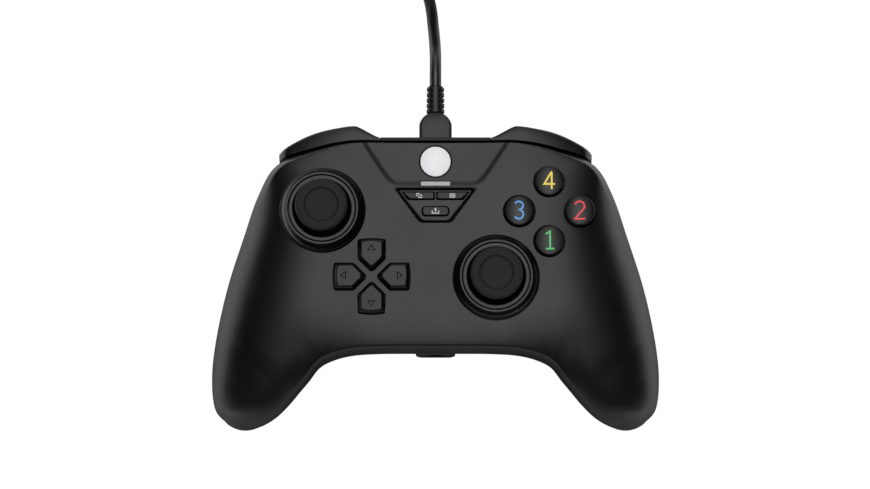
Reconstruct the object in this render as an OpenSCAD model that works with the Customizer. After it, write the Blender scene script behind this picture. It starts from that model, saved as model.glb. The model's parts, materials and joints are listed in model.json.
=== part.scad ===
// Wired gamepad controller, face up, at rest on the hump of its rear shell.
// X runs to the player's right, Y away from the player, Z up; the table is Z = 0.

/* [Housing] */
// Overall width over the grips
body_w = 154.4; // [148:0.2:164]
// Distance from the origin to the top edge of the face
top_y = 44.5; // [43.5:0.1:46]
// Distance from the origin to the edge between the grips
crotch_y = -26.5; // [-28:0.1:-25.5]
// Distance from the origin to the grip ends
grip_y = -50.8; // [-54:0.1:-49]
// Height of the face above the table
face_z = 40; // [38:0.2:44]
// Height of the underside beside the hump
belly_z = 9; // [7:0.2:10]
// Wall of both shells
wall = 2.2; // [1.6:0.1:2.6]
// Drop of the grips' upper side at their ends
grip_droop = 22; // [18:0.5:24]
// Gap left along the seam of the shells
seam_gap = 0.2; // [0.1:0.05:0.4]

/* [Sticks] */
// Left stick, to the left of the middle
left_stick_x = 38.6; // [37:0.1:39.5]
// Left stick, above the origin
left_stick_y = 20.9; // [20:0.1:22]
// Right stick, to the right of the middle
right_stick_x = 20.6; // [19:0.1:21.5]
// Right stick, below the origin
right_stick_y = 2.4; // [1:0.1:3.5]
// Height of the stick collars above the face
collar_h = 4.4; // [3.5:0.1:4.8]
// Radius of a collar at the face
collar_r = 14.5; // [14:0.1:14.8]
// Radius of a collar at its top
collar_top_r = 12.2; // [11.9:0.1:12.8]
// Radius of the opening that a stick moves in
stick_hole_r = 9.7; // [9.5:0.1:10]
// Radius of the thumb cap
cap_r = 8.9; // [8:0.1:9.2]
// Height of the cap's rim above the face
cap_rim_h = 11.4; // [11.2:0.1:13]
// Depth of the stick's pivot below the face
pivot_depth = 4.5; // [4.4:0.1:4.8]
// Radius of the dome that closes the opening
dome_r = 11.6; // [11.4:0.1:11.7]
// Travel of a stick when it is clicked
click_travel = 0.6; // [0.3:0.1:0.7]

/* [Buttons] */
// Middle of the four face buttons, to the right of the middle
diamond_x = 38.8; // [38:0.1:40]
// Middle of the four face buttons, above the origin
diamond_y = 20.5; // [20:0.1:21.5]
// Distance of each face button from the middle of the four
diamond_r = 10.3; // [10.1:0.1:11]
// Radius of a face button
face_button_r = 5.1; // [4.6:0.05:5.3]
// Height of a face button's crown above the face
face_button_h = 2.5; // [2:0.1:3.2]
// Middle of the direction keys, to the left of the middle
dpad_x = 21.7; // [21:0.1:22.5]
// Middle of the direction keys, below the origin
dpad_y = 2.05; // [1.5:0.05:2.5]
// Reach of a direction key's opening from the middle of the four
dpad_reach = 13.1; // [12.6:0.1:13.6]
// Half width of a direction key's opening
dpad_half_w = 4.65; // [4.2:0.05:4.7]
// Height of the direction keys above the face
dpad_h = 2.9; // [2.2:0.1:3.4]
// Middle of the home button above the origin
home_y = 37.7; // [37:0.1:38]
// Radius of the home button
home_r = 5.15; // [4.6:0.05:5.3]
// Middle of the status light above the origin
light_y = 30.1; // [29.9:0.1:30.4]
// Length of the status light
light_w = 10.1; // [8:0.1:11]
// Top edge of the centre panel above the origin
panel_top_y = 28.3; // [28:0.1:28.5]
// Bottom edge of the centre panel above the origin
panel_bottom_y = 16.9; // [16.5:0.1:17.3]
// Half width of the centre panel at its top
panel_top_w = 13.6; // [13.2:0.1:14.2]
// Half width of the centre panel at its bottom
panel_bottom_w = 5.1; // [4.8:0.1:5.6]
// Width of the gaps round buttons and keys
key_gap = 0.35; // [0.25:0.05:0.45]
// Travel of the face buttons
button_travel = 1.2; // [0.8:0.1:1.3]

/* [Bumpers and triggers] */
// Height of the bumpers' lower edge above the table
bumper_low_z = 25.8; // [25.6:0.1:27]
// Gap between a bumper and the housing
bumper_gap = 0.8; // [0.7:0.1:1.2]
// Inner side of a trigger, from the side of the housing
trigger_in_x = 48.8; // [48.2:0.1:49.2]
// Outer side of a trigger, from the side of the housing
trigger_out_x = 25; // [24.8:0.1:25.6]
// Height of a trigger's tip above the table
trigger_tip_z = 5; // [5:0.1:6]
// Radius of a trigger's hinge pin
trigger_pin_r = 1.5; // [1.2:0.05:1.7]
// Height of the trigger pins above the table
trigger_pin_z = 23.5; // [23:0.1:24]

/* [Cable] */
// Diameter of the lead
lead_d = 4; // [3.6:0.1:4.2]
// Width of the plug in the top edge
plug_w = 11.2; // [10:0.1:11.6]
// Thickness of the plug in the top edge
plug_t = 7.6; // [7:0.1:8]
// Distance between neighbouring turns and layers of the coil
coil_pitch = 4.5; // [4.45:0.05:4.8]
// Radius of the coil's outer turns
coil_r = 33; // [32:0.5:34]

/* [Hidden] */
$fn = 64;
eps = 0.01;
half_w = body_w / 2;

// Outline of the housing at its seam, as two rails from the middle to the right grip's end:
// the outer one over the shoulder and down the side, the inner one round the crotch.
outer_rail = [[0, top_y, face_z - 5], [15, top_y, face_z - 5], [29, top_y, face_z - 5.4],
    [half_w - 35.2, top_y - 2.3, face_z - 7.5], [half_w - 23.2, top_y - 6.9, face_z - 12],
    [half_w - 15.6, 28.5, face_z - 18], [half_w - 10.6, 14.3, face_z - 22],
    [half_w - 5.6, -1.5, face_z - 24], [half_w - 1.9, -17.5, face_z - 26],
    [half_w, grip_y + 19, face_z - 28], [half_w - 1.2, grip_y + 7.5, face_z - 29.5],
    [half_w - 6, grip_y + 2, face_z - 30.5]];
inner_rail = [[0, crotch_y, face_z - 12], [11, crotch_y, face_z - 12],
    [20, crotch_y - 0.1, face_z - 12.2], [28, crotch_y - 0.6, face_z - 13],
    [34.5, crotch_y - 2, face_z - 14.5], [39.5, crotch_y - 4.3, face_z - 16.5],
    [half_w - 34, crotch_y - 8.6, face_z - 19], [half_w - 30.6, grip_y + 12, face_z - 21.5],
    [half_w - 27.1, grip_y + 8.2, face_z - 24.5], [half_w - 23, grip_y + 4.4, face_z - 27],
    [half_w - 18.8, grip_y + 1.8, face_z - 29], [half_w - 14.6, grip_y + 0.1, face_z - 30.2]];
last_rib = len(outer_rail) - 1;
// The grips close like a dome from this rib on
tip_rib = 9;
tip_bulge = 1.2;
// Widths of the rounded edges along each rail: [rib, width]
face_outer_round = [[0, 0.9], [2, 0.9], [2.6, 6], [3, 12], [4, 24], [5, 28], [6, 31], [7, 36], [8, 40],
    [9, 32], [11, 9]];
face_inner_round = [[0, 20], [3, 20], [5, 16], [8, 13], [11, 8]];
rear_outer_round = [[0, 10], [3, 12], [5, 16], [9, 14], [11, 8]];
rear_inner_round = [[0, 8], [3, 9], [6, 13], [9, 13], [11, 8]];
// Share of the face's rise that a narrow crisp edge takes along each rail: [rib, share]
face_outer_edge = [[0, 0], [2, 0], [2.5, 0.35], [3, 0.5], [4, 0.42], [4.6, 0.2], [5.2, 0]];
face_inner_edge = [[0, 0.78], [4, 0.72], [6, 0.6], [9, 0.45], [11, 0.1]];
crisp_edge = 1.2;
least_round = 0.3;
droop_start_y = -4;
stations = 24;
across = 14;

// Points of the stick mechanism, from the pivot upwards
pivot_z = face_z - pivot_depth;
ring_top = pivot_depth + collar_h;
board_z = pivot_z - 6;
board_t = 1.6;
module_half = 6.8;
module_top = 3.6;
module_wall = 0.8;
yoke_r = 5.4;
yoke_pin_r = 0.9;
rocker_r = 2.9;
rocker_pin_r = 0.7;
shaft_r = 1.6;
shaft_below = 3.4;
run_gap = 0.1;
dome_wall = 0.7;
dome_angle = 74;
neck_r = 3.6;
collar_lip = 1.4;
ring_groove = 0.3;
ring_ledge = 0.9;
ring_band_r = collar_top_r - 0.9;
seat_gap = 0.15;

// Buttons
key_skirt = 5;
key_flange = 1.1;
key_ear_w = 3;
key_ear_t = 0.8;
pad_margin = 2.7;
pad_top = face_z - key_skirt - button_travel - 0.1;
button_crown_r = 13;
small_travel = 0.5;
small_rise = 0.8;
share_w = 9.6;
share_h = 3.7;
share_y = panel_bottom_y + 3.6;
view_top_y = panel_top_y - 1.2;
view_h = 2.7;
view_in_x = 0.55;
panel_gap = 0.45;
light_h = 1.5;
groove_w = 1.1;
groove_depth = 0.5;
groove_y = light_y + 0.1;
switch_top = face_z - key_skirt - small_travel - 0.15;

// Bumpers: outer edge of the right one, at these places on the outer rail
bumper_ribs = [1.28, 1.42, 1.78, 1.95, 2.3, 2.76, 3.18, 3.57, 3.88];
bumper_edge = [[19.2, top_y + 2.5], [21, top_y + 3.3], [26, top_y + 6.1], [28.4, top_y + 6.6],
    [33, top_y + 6.1], [half_w - 37.9, top_y + 4.9], [half_w - 32.5, top_y + 3.1],
    [half_w - 27.2, top_y + 0.4], [half_w - 23.9, top_y - 2.1]];
bumper_high_z = [for (d = [1.6, 1.6, 1.6, 1.6, 1.8, 2.6, 3.8, 5.6, 7.2]) face_z - d];
bumper_steps = 16;
// Each bumper turns on a post under the face, which its flange reaches through a slot
bumper_hinge_x = 22;
bumper_hinge_y = top_y - 5;
bumper_post_r = 1.1;
bumper_hub_r = 2.4;
bumper_hub_low = face_z - 9;
bumper_hub_h = 3.2;
bumper_flange_w = 3.6;
bumper_slot_gap = 0.8;

// Triggers: hinge line and side profile, relative to the top edge of the housing
trigger_x0 = half_w - trigger_in_x;
trigger_x1 = half_w - trigger_out_x;
trigger_w = trigger_x1 - trigger_x0;
trigger_pin_y = top_y - 8;
trigger_top_z = bumper_low_z - 1.2;
trigger_slot_y = top_y - 13.5;
trigger_side_gap = 0.8;
trigger_lug_t = 3;
trigger_lug_wall = 1.6;
trigger_lug_r = trigger_pin_r + trigger_lug_wall;
trigger_lugs = [6, trigger_w - 8.3];
trigger_window_top = trigger_pin_z + trigger_lug_r + 0.6;
ear_t = 2;
ear_gap = 0.3;
ear_wall = 1.1;
ear_room = 1.2;
bracket_t = 1.6;
bracket_gap = 0.7;
spring_wire = 0.45;
spring_curls = 5;

// Fastening points: x, y, foot in the rear wall, joint between posts, top in the front wall
screw_points = [[half_w - 17.2, grip_y + 15, 1.2, 14, face_z - 14],
    [36, crotch_y + 12.5, belly_z - 0.4, 18, face_z - 1.6], [0, 9, 1, 18, face_z - 1.6]];
post_r = 4.6;
boss_r = 3.2;
screw_r = 1.4;
screw_head_r = 2.7;
screw_head_h = 1.8;
screw_grip = 6;
screw_gap = 0.1;
screw_seat = 4;

// Rumble motors lie in the grips
motor_x = half_w - 19.7;
motor_y = grip_y + 34;
motor_z = 19;
motor_r = 7.5;
motor_l = 14;
motor_shaft_r = 1;
weight_r = 8;
weight_l = 5;

// Top edge and the plug in it; the port hangs under the board
port_half_t = 2.2;
plug_z = board_z - board_t - port_half_t;
plug_gap = 0.3;
bridge_half_w = 18.6;
bridge_y = top_y + 0.25;
bridge_depth = 1.6;
bridge_step = 0.5;
bridge_top_z = face_z - 2.2;
bridge_low_z = plug_z - plug_t / 2 - 2.5;
plug_y = bridge_y + 0.6;
plug_l = 11.1;
plug_end_r = plug_w / 2 + 0.1;
tongue_w = 8.2;
tongue_t = 2.4;
relief_w = 6.2;
relief_l = 9.6;
plug_end_y = plug_y + plug_l;
relief_end_y = plug_end_y + relief_l;

// Headset socket in the edge between the grips
jack_z = face_z - 17.5;
jack_r = 1.8;
jack_barrel_r = 2.85;
jack_l = 14;
jack_face_y = crotch_y - 0.4;

// Lead: straight out of its relief, down to the table and along it to the coil
lead_r = lead_d / 2;
coil_x = 0;
coil_y = 150;
coil_layers = 4;
layer_turns = 4;
tie_t = 1;
tie_w = 12;
tie_gap = 0.3;
coil_z = tie_t + tie_gap + lead_r;
loop_steps = 24;
lead_route = [[0, relief_end_y, plug_z], [0, relief_end_y + 3, plug_z], [0, relief_end_y + 6, plug_z],
    [0, 77.5, 24], [-0.2, 83, 19.5], [-0.5, 88, 13.5], [-0.9, 93, 8], [-1.4, 98.5, 4.2], [-2.7, 104.3, 2.4],
    [-6.4, 110, 2.1], [-12.6, 115.6, 2.1], [-19.5, 121, 2.1], [-25.8, 126.6, 2.2], [-30.4, 132.4, 2.6],
    [coil_x - coil_r + 0.3, 137.4, 3], [coil_x - coil_r, coil_y - lead_d - 4, coil_z],
    [coil_x - coil_r, coil_y - lead_d, coil_z]];

// Small helpers
function clamp01(v) = min(1, max(0, v));
function smooth(v) = let(c = clamp01(v)) c * c * (3 - 2 * c);
function table(rows, v) = lookup(v, rows);
function unit(v) = v / norm(v);
function arc(c, r, a0, a1, n) = [for (i = [0:n]) let(a = a0 + (a1 - a0) * i / n) c + r * [cos(a), sin(a)]];
// Point on a smooth curve through the points p; mirror_start carries it over the middle plane
function curve(p, t, mirror_start = false) =
    let(n = len(p), i = min(floor(t), n - 2), f = t - i, b = p[i], c = p[i + 1],
        a = i > 0 ? p[i - 1]
            : mirror_start ? [for (k = [0:len(b) - 1]) k == 0 ? -c[0] : c[k]] : 2 * b - c,
        d = i + 2 < n ? p[i + 2] : 2 * c - b)
    0.5 * (2 * b + (c - a) * f + (2 * a - 5 * b + 4 * c - d) * f * f
        + (3 * b - a - 3 * c + d) * f * f * f);
function flat2(v) = [v[0], v[1]];
function cross2(a, b) = a[0] * b[1] - a[1] * b[0];

// Heights of the face and of the underside, before their edges are rounded
function face_height(x, y) = face_z - grip_droop
    * pow(max(0, droop_start_y - y) / (droop_start_y - grip_y), 2) * smooth((abs(x) - 22) / 28);
function belly_height(x, y) =
    let(hump = smooth((34 - abs(x)) / 10) * smooth((y + 12) / 14),
        middle = belly_z * (1 - hump), grip = min(belly_z, 0.006 * pow(y - grip_y - 13, 2)))
    middle + (grip - middle) * smooth((abs(x) - 30) / 18);
function round_off(d, w) = d >= w ? 1 : sqrt(max(0, 1 - pow(1 - d / w, 2)));
// Rise at distance d from a rail: a broad rounding of width w, and a crisp edge for a share of it
function edge_rise(d, w, share, inset) = (1 - share) * round_off(d, max(least_round, w - inset))
    + share * round_off(d, max(least_round, crisp_edge - inset));
function rail_way(rail, t) = unit(flat2(curve(rail, min(last_rib, t + 0.05), true)
    - curve(rail, max(0, t - 0.05), true)));
// Point t along the rails and s across from the inner to the outer one, inset into the wall
function skin(t, s, inset, upper) =
    let(end = last_rib - inset * 0.15, r = t * end / last_rib,
        o = curve(outer_rail, r, true), i = curve(inner_rail, r, true),
        span = norm(flat2(o - i)), way = flat2(o - i) / span,
        a = inset + s * (span - 2 * inset), k = a / span, p = i + (o - i) * k,
        xy = flat2(p) + [way[1], -way[0]] * tip_bulge * smooth((r - tip_rib) / 2) * 4 * k * (1 - k),
        in_d = (a - inset) * abs(cross2(way, rail_way(inner_rail, r))),
        out_d = (span - a - inset) * abs(cross2(way, rail_way(outer_rail, r))),
        in_w = table(upper ? face_inner_round : rear_inner_round, r),
        out_w = table(upper ? face_outer_round : rear_outer_round, r),
        in_share = upper ? table(face_inner_edge, r) : 0,
        out_share = upper ? table(face_outer_edge, r) : 0,
        tip = r > tip_rib ? sqrt(max(0, 1 - pow((r - tip_rib) / (end - tip_rib), 2))) : 1,
        lift = edge_rise(in_d, in_w, in_share, inset) * edge_rise(out_d, out_w, out_share, inset) * tip,
        seam = p[2] - (upper ? 0 : seam_gap),
        far = upper ? face_height(xy[0], xy[1]) - inset : belly_height(xy[0], xy[1]) + inset)
    [xy[0], xy[1], seam + (far - seam) * lift];
// Rows from the left grip's end to the right one's
function rib_at(v) = last_rib * (0.6 * v + 0.4 * sin(90 * v));
function skin_rows(inset, upper) = [for (k = [-stations:stations])
    [for (j = [0:across]) let(p = skin(rib_at(abs(k) / stations), 0.5 - 0.5 * cos(180 * j / across),
        inset, upper)) [k < 0 ? -p[0] : p[0], p[1], p[2]]]];
// Closed wall between an outer and an inner skin
module shell(upper) {
    rows = 2 * stations + 1;
    cols = across + 1;
    outside = skin_rows(0, upper);
    inside = skin_rows(wall, upper);
    points = [for (g = [outside, inside]) for (row = g) each row];
    function at(g, i, j) = g * rows * cols + i * cols + j;
    function quad(a, b, c, d) = [[a, b, c], [a, c, d]];
    skins = [for (i = [0:rows - 2]) for (j = [0:across - 1])
        each concat(quad(at(0, i, j), at(0, i, j + 1), at(0, i + 1, j + 1), at(0, i + 1, j)),
            quad(at(1, i, j), at(1, i + 1, j), at(1, i + 1, j + 1), at(1, i, j + 1)))];
    long_rims = [for (i = [0:rows - 2])
        each concat(quad(at(0, i, 0), at(0, i + 1, 0), at(1, i + 1, 0), at(1, i, 0)),
            quad(at(0, i, across), at(1, i, across), at(1, i + 1, across), at(0, i + 1, across)))];
    end_rims = [for (j = [0:across - 1])
        each concat(quad(at(0, 0, j), at(1, 0, j), at(1, 0, j + 1), at(0, 0, j + 1)),
            quad(at(0, rows - 1, j), at(0, rows - 1, j + 1), at(1, rows - 1, j + 1),
                at(1, rows - 1, j)))];
    faces = concat(skins, long_rims, end_rims);
    polyhedron(points, upper ? faces : [for (f = faces) [f[2], f[1], f[0]]]);
}

// Loft through rows of points, closed at both ends
module loft(rows) {
    n = len(rows[0]);
    last = len(rows) - 1;
    sides = [for (i = [0:last - 1]) for (j = [0:n - 1])
        let(k = (j + 1) % n) each [[i * n + j, (i + 1) * n + j, (i + 1) * n + k],
            [i * n + j, (i + 1) * n + k, i * n + k]]];
    // Each end is zipped across from its first and last points, so it may be hollow
    zip = [for (j = [0:floor((n - 3) / 2)]) each concat([[j, n - 2 - j, n - 1 - j]],
        j + 1 < n - 2 - j ? [[j, j + 1, n - 2 - j]] : [])];
    ends = [for (f = zip) each [f, [last * n + f[2], last * n + f[1], last * n + f[0]]]];
    polyhedron([for (r = rows) each r], [for (f = concat(sides, ends)) [f[2], f[1], f[0]]]);
}
// Rings of a round tube along a path of points, which never runs along axis
function tube_rows(path, r, sides, axis = [0, 0, 1]) = [for (i = [0:len(path) - 1])
    let(last = len(path) - 1, way = unit(path[min(last, i + 1)] - path[max(0, i - 1)]),
        side = unit(cross(way, axis)), up = cross(side, way))
    [for (k = [0:sides - 1]) path[i] + r * (cos(360 * k / sides) * side + sin(360 * k / sides) * up)]];
module both_sides() {
    children();
    mirror([1, 0, 0]) children();
}
module on_left() {
    mirror([1, 0, 0]) children();
}
module at_left_stick() {
    translate([-left_stick_x, left_stick_y, pivot_z]) children();
}
module at_right_stick() {
    translate([right_stick_x, -right_stick_y, pivot_z]) children();
}
module rounded_bar(w, h, z0, z1) {
    for (x = [-1, 1]) translate([x * (w - h) / 2, 0, z0]) cylinder(h = z1 - z0, d = h);
    translate([-(w - h) / 2, -h / 2, z0]) cube([w - h, h, z1 - z0]);
}
module rod_x(r, x0, x1) {
    translate([x0, 0, 0]) rotate([0, 90, 0]) cylinder(r = r, h = x1 - x0);
}
module rod_y(r, y0, y1) {
    translate([0, y0, 0]) rotate([-90, 0, 0]) cylinder(r = r, h = y1 - y0);
}

// Outlines on the face
function key_outline(inset) =
    let(w = dpad_half_w - inset, tip = 2 + inset * 1.3, shoulder = tip + w - 0.5,
        edge = dpad_reach - 0.5 - inset)
    concat([[tip + 0.25, -0.75], [shoulder, -w]],
        [for (i = [0:8]) let(v = -1 + i / 4) [edge + 0.5 * (1 - v * v), v * w]],
        [[shoulder, w], [tip + 0.25, 0.75], [tip, 0]]);
function rounded(points, r, n = 6) = let(m = len(points)) [for (i = [0:m - 1])
    let(b = points[i], a = points[(i + m - 1) % m], c = points[(i + 1) % m])
    for (k = [0:n]) let(v = k / n, p = b + unit(a - b) * r * (1 - v), q = b + unit(c - b) * r * v)
        p * (1 - v) + q * v];
function panel_outline(inset) = rounded([[-panel_top_w + inset * 1.8, panel_top_y - inset],
    [-panel_bottom_w + inset, panel_bottom_y + inset], [panel_bottom_w - inset, panel_bottom_y + inset],
    [panel_top_w - inset * 1.8, panel_top_y - inset]], 1.2);
function view_outline(inset) =
    let(y1 = view_top_y - inset, y0 = view_top_y - view_h + inset, slope = (panel_top_w - panel_bottom_w)
        / (panel_top_y - panel_bottom_y), out = panel_top_w - 2.3 - inset * 1.5)
    rounded([[view_in_x + inset, y1], [view_in_x + inset, y0],
        [out - slope * view_h, y0], [out, y1]], 0.5);
// Sunken line that runs down from the top edge, round two bends and across the middle
groove_side = [[24.2, top_y - 0.6], [19.8, home_y - 0.5], [17, groove_y + 2.9],
    [15, groove_y + 0.9], [12.6, groove_y], [light_w / 2 + 0.6, groove_y]];
function ribbon(p, w) = let(last = len(p) - 1,
    side = [for (i = [0:last]) let(d = unit(p[min(last, i + 1)] - p[max(0, i - 1)])) [-d[1], d[0]] * w / 2])
    concat([for (i = [0:last]) p[i] + side[i]], [for (i = [last:-1:0]) p[i] - side[i]]);
groove_path = [for (v = [0:0.25:len(groove_side) - 1]) curve(groove_side, v)];

module face_button_places() {
    for (a = [0, 90, 180, 270])
        translate([diamond_x + diamond_r * cos(a), diamond_y + diamond_r * sin(a), 0]) children();
}
module dpad_places() {
    for (a = [0, 90, 180, 270]) translate([-dpad_x, -dpad_y, 0]) rotate(a) children();
}
// Fastening points of both sides; the one in the middle only once
all_screws = [for (p = screw_points) each p[0] == 0 ? [p] : [p, [-p[0], p[1], p[2], p[3], p[4]]]];

module port_cut() {
    translate([-plug_w / 2 - plug_gap, trigger_slot_y, plug_z - plug_t / 2 - plug_gap])
        cube([plug_w + 2 * plug_gap, plug_end_y - trigger_slot_y, plug_t + 2 * plug_gap]);
}

module front_shell() color([0.16, 0.16, 0.17]) difference() {
    union() {
        shell(true);
        for (p = all_screws) translate([p[0], p[1], p[3] + seam_gap])
            cylinder(r = boss_r, h = p[4] - p[3] - seam_gap);
        both_sides() translate([bumper_hinge_x, bumper_hinge_y, bumper_hub_low - seam_gap])
            cylinder(r = bumper_post_r, h = face_z - wall / 2 - bumper_hub_low + seam_gap);
    }
    for (p = all_screws) translate([p[0], p[1], p[3] - 1])
        cylinder(r = screw_r + screw_gap, h = min(9, p[4] - p[3] - 1));
    translate([-left_stick_x, left_stick_y, face_z - 12]) cylinder(r = collar_r + seat_gap, h = 20);
    translate([right_stick_x, -right_stick_y, face_z - 12]) cylinder(r = collar_r + seat_gap, h = 20);
    translate([0, 0, face_z - 9]) {
        face_button_places() cylinder(r = face_button_r + key_gap, h = 20);
        dpad_places() linear_extrude(20) polygon(key_outline(0));
        translate([0, home_y, 0]) cylinder(r = home_r + key_gap, h = 20);
        linear_extrude(20) polygon(panel_outline(0));
    }
    light_bar(light_w + 2 * seat_gap, light_h + 2 * seat_gap, face_z - 9, face_z + 9);
    translate([0, 0, face_z - groove_depth]) linear_extrude(9) {
        polygon(ribbon(groove_path, groove_w));
        polygon(ribbon([for (p = groove_path) [-p[0], p[1]]], groove_w));
    }
}

// Opening that a trigger swings in
module trigger_window() {
    translate([trigger_x0 - trigger_side_gap, trigger_slot_y, -belly_z])
        cube([trigger_w + 2 * trigger_side_gap, top_y, trigger_window_top + belly_z]);
}
module motor_cradle(y, foot) {
    difference() {
        translate([motor_x - 6, y - 1, foot]) cube([12, 2, motor_z - 3 - foot]);
        translate([motor_x, y, motor_z]) rod_y(motor_r + seat_gap, -2, 2);
    }
}

module rear_shell() color([0.13, 0.13, 0.14]) difference() {
    union() {
        shell(false);
        for (p = all_screws) translate([p[0], p[1], p[2]]) cylinder(r = post_r, h = p[3] - p[2]);
        both_sides() {
            motor_cradle(motor_y + 3, 4.9);
            motor_cradle(motor_y - 6, 3);
        }
        translate([0, 0, jack_z - 4]) linear_extrude(8) polygon([[-5.2, jack_face_y], [5.2, jack_face_y],
            [6.8, crotch_y + 0.1], [6.8, crotch_y + 1.2], [-6.8, crotch_y + 1.2], [-6.8, crotch_y + 0.1]]);
    }
    for (p = all_screws) translate([p[0], p[1], -1]) {
        cylinder(r = screw_r + 2 * screw_gap, h = 40);
        cylinder(r = screw_head_r + 3 * screw_gap, h = p[3] - screw_seat + 1);
    }
    both_sides() {
        trigger_window();
        translate([bumper_hinge_x - bumper_flange_w / 2 - bumper_slot_gap, top_y - 2 * wall,
            bumper_hub_low - bumper_slot_gap])
            cube([bumper_flange_w + 2 * bumper_slot_gap, 4 * wall, 12]);
    }
    translate([0, jack_face_y - 1, jack_z]) rod_y(jack_barrel_r + seat_gap, 0, 8);
    // Room for the home button when it is pressed
    translate([0, home_y, face_z - key_skirt - 2 * small_travel])
        cylinder(r = home_r + key_gap, h = key_skirt);
    port_cut();
}

module top_bridge() color([0.12, 0.12, 0.13]) difference() {
    translate([-bridge_half_w, bridge_y, bridge_low_z]) {
        cube([2 * bridge_half_w, bridge_depth, bridge_top_z - bridge_low_z - 1]);
        translate([0, bridge_step, bridge_top_z - bridge_low_z - 1 - eps])
            cube([2 * bridge_half_w, bridge_depth - bridge_step, 1 + eps]);
    }
    port_cut();
}

module centre_panel() color([0.15, 0.15, 0.16]) difference() {
    translate([0, 0, face_z - wall - 1.3]) linear_extrude(wall + 1.1) polygon(panel_outline(panel_gap));
    translate([0, 0, face_z - 9]) {
        for (side = [1, -1]) linear_extrude(20)
            polygon([for (p = view_outline(0)) [side * p[0], p[1]]]);
        translate([0, share_y, 0]) rounded_bar(share_w, share_h, 0, 20);
    }
}
module light_bar(w, h, z0, z1) {
    translate([-w / 2, light_y - h / 2, z0]) cube([w, h, z1 - z0]);
}
module status_light_pipe() color([0.85, 0.86, 0.88]) light_bar(light_w, light_h, board_z, face_z - 0.15);

// Raised collar round a stick, with a sunken line near its top
module stick_collar() {
    rotate_extrude() polygon([[stick_hole_r + ring_ledge, ring_top - collar_lip - 0.1],
        [ring_band_r + ring_groove, ring_top - collar_lip - 0.1],
        [ring_band_r + ring_groove, ring_top], [collar_top_r, ring_top],
        [collar_r, pivot_depth], [collar_r, -2.5], [collar_r - 1.6, -2.5],
        [collar_r - 1.6, pivot_depth - 0.5], [stick_hole_r + ring_ledge, ring_top - collar_lip - 0.9]]);
}
// Slippery ring that the stick's neck runs against
module stick_ring() {
    rotate_extrude() polygon([[stick_hole_r, ring_top - collar_lip],
        [ring_band_r, ring_top - collar_lip], [ring_band_r, ring_top], [stick_hole_r + 0.3, ring_top],
        [stick_hole_r, ring_top - 0.3]]);
}
module left_stick_collar() color([0.1, 0.1, 0.11]) at_left_stick() stick_collar();
module right_stick_collar() color([0.1, 0.1, 0.11]) at_right_stick() stick_collar();
module left_stick_ring() color([0.3, 0.3, 0.31]) at_left_stick() stick_ring();
module right_stick_ring() color([0.3, 0.3, 0.31]) at_right_stick() stick_ring();

// Frame of the stick's mechanism with a sensor on two of its sides
module stick_module() {
    h = module_top + pivot_z - board_z;
    difference() {
        union() {
            translate([-module_half, -module_half, board_z - pivot_z])
                cube([2 * module_half, 2 * module_half, h]);
            translate([module_half - eps, -4.5, board_z - pivot_z]) cube([2.4, 9, h - 2.8]);
            translate([-4.5, module_half - eps, board_z - pivot_z]) cube([9, 2.4, h - 2.8]);
        }
        translate([-module_half + module_wall, -module_half + module_wall, board_z - pivot_z + 0.8])
            cube([2 * (module_half - module_wall), 2 * (module_half - module_wall), h - 1.6]);
        cylinder(r = 5.2, h = 20);
        rod_x(yoke_pin_r + run_gap, -module_half - 1, module_half - eps);
    }
    // Switch under the shaft, which a click of the stick presses
    translate([0, 0, board_z - pivot_z + 0.5])
        cylinder(r = 1.8, h = pivot_z - board_z - shaft_below - click_travel - 0.9);
}
// Outer gimbal ring, which tips on two pins along X
module stick_yoke() {
    difference() {
        union() {
            translate([0, 0, -1]) cylinder(r = yoke_r, h = 2);
            rod_x(yoke_pin_r, -module_half + 0.1, module_half - 0.1);
        }
        translate([0, 0, -2]) cylinder(r = 4, h = 4);
        rod_y(rocker_pin_r + run_gap, -yoke_r - 1, yoke_r + 1);
    }
}
// Inner gimbal block, which tips on two pins along Y and guides the shaft
module stick_rocker() {
    difference() {
        union() {
            translate([0, 0, -1.2]) cylinder(r = rocker_r, h = 2.4);
            rod_y(rocker_pin_r, -yoke_r + 0.3, yoke_r - 0.3);
        }
        translate([0, 0, -3]) cylinder(r = shaft_r + run_gap, h = 6);
    }
}
// Shaft, dome and neck of the stick in one piece
cap_low = pivot_depth + cap_rim_h - 2.8;
module stick_stem() {
    translate([0, 0, -shaft_below]) cylinder(r = shaft_r, h = shaft_below + dome_r);
    difference() {
        sphere(r = dome_r);
        sphere(r = dome_r - dome_wall);
        rotate_extrude() polygon([[0, -20], [40, -20], [40, 40 / tan(dome_angle)], [0, 0]]);
    }
    translate([0, 0, dome_r - dome_wall]) cylinder(r = neck_r, h = cap_low - dome_r + dome_wall + 1);
}
// Soft cap: flared underside, round rim and a shallow dish in its top
module stick_cap() {
    top = pivot_depth + cap_rim_h;
    difference() {
        rotate_extrude() polygon(concat([[0, cap_low], [neck_r + 0.9, cap_low], [cap_r - 1.4, cap_low + 0.8]],
            arc([cap_r - 1.1, top - 0.9], 1.1, -60, 90, 8),
            [[6.2, top + 0.5], [5.8, top + 0.4], [4.2, top - 0.1], [2.2, top - 0.4], [0, top - 0.5]]));
        translate([0, 0, cap_low - 1]) cylinder(r = neck_r + 0.05, h = 2.05);
    }
}
module left_stick_module() color([0.55, 0.56, 0.58]) at_left_stick() stick_module();
module right_stick_module() color([0.55, 0.56, 0.58]) at_right_stick() stick_module();
module left_stick_yoke() color([0.2, 0.2, 0.22]) at_left_stick() stick_yoke();
module right_stick_yoke() color([0.2, 0.2, 0.22]) at_right_stick() stick_yoke();
module left_stick_rocker() color([0.8, 0.8, 0.78]) at_left_stick() stick_rocker();
module right_stick_rocker() color([0.8, 0.8, 0.78]) at_right_stick() stick_rocker();
module left_stick_stem() color([0.09, 0.09, 0.1]) at_left_stick() stick_stem();
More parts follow.
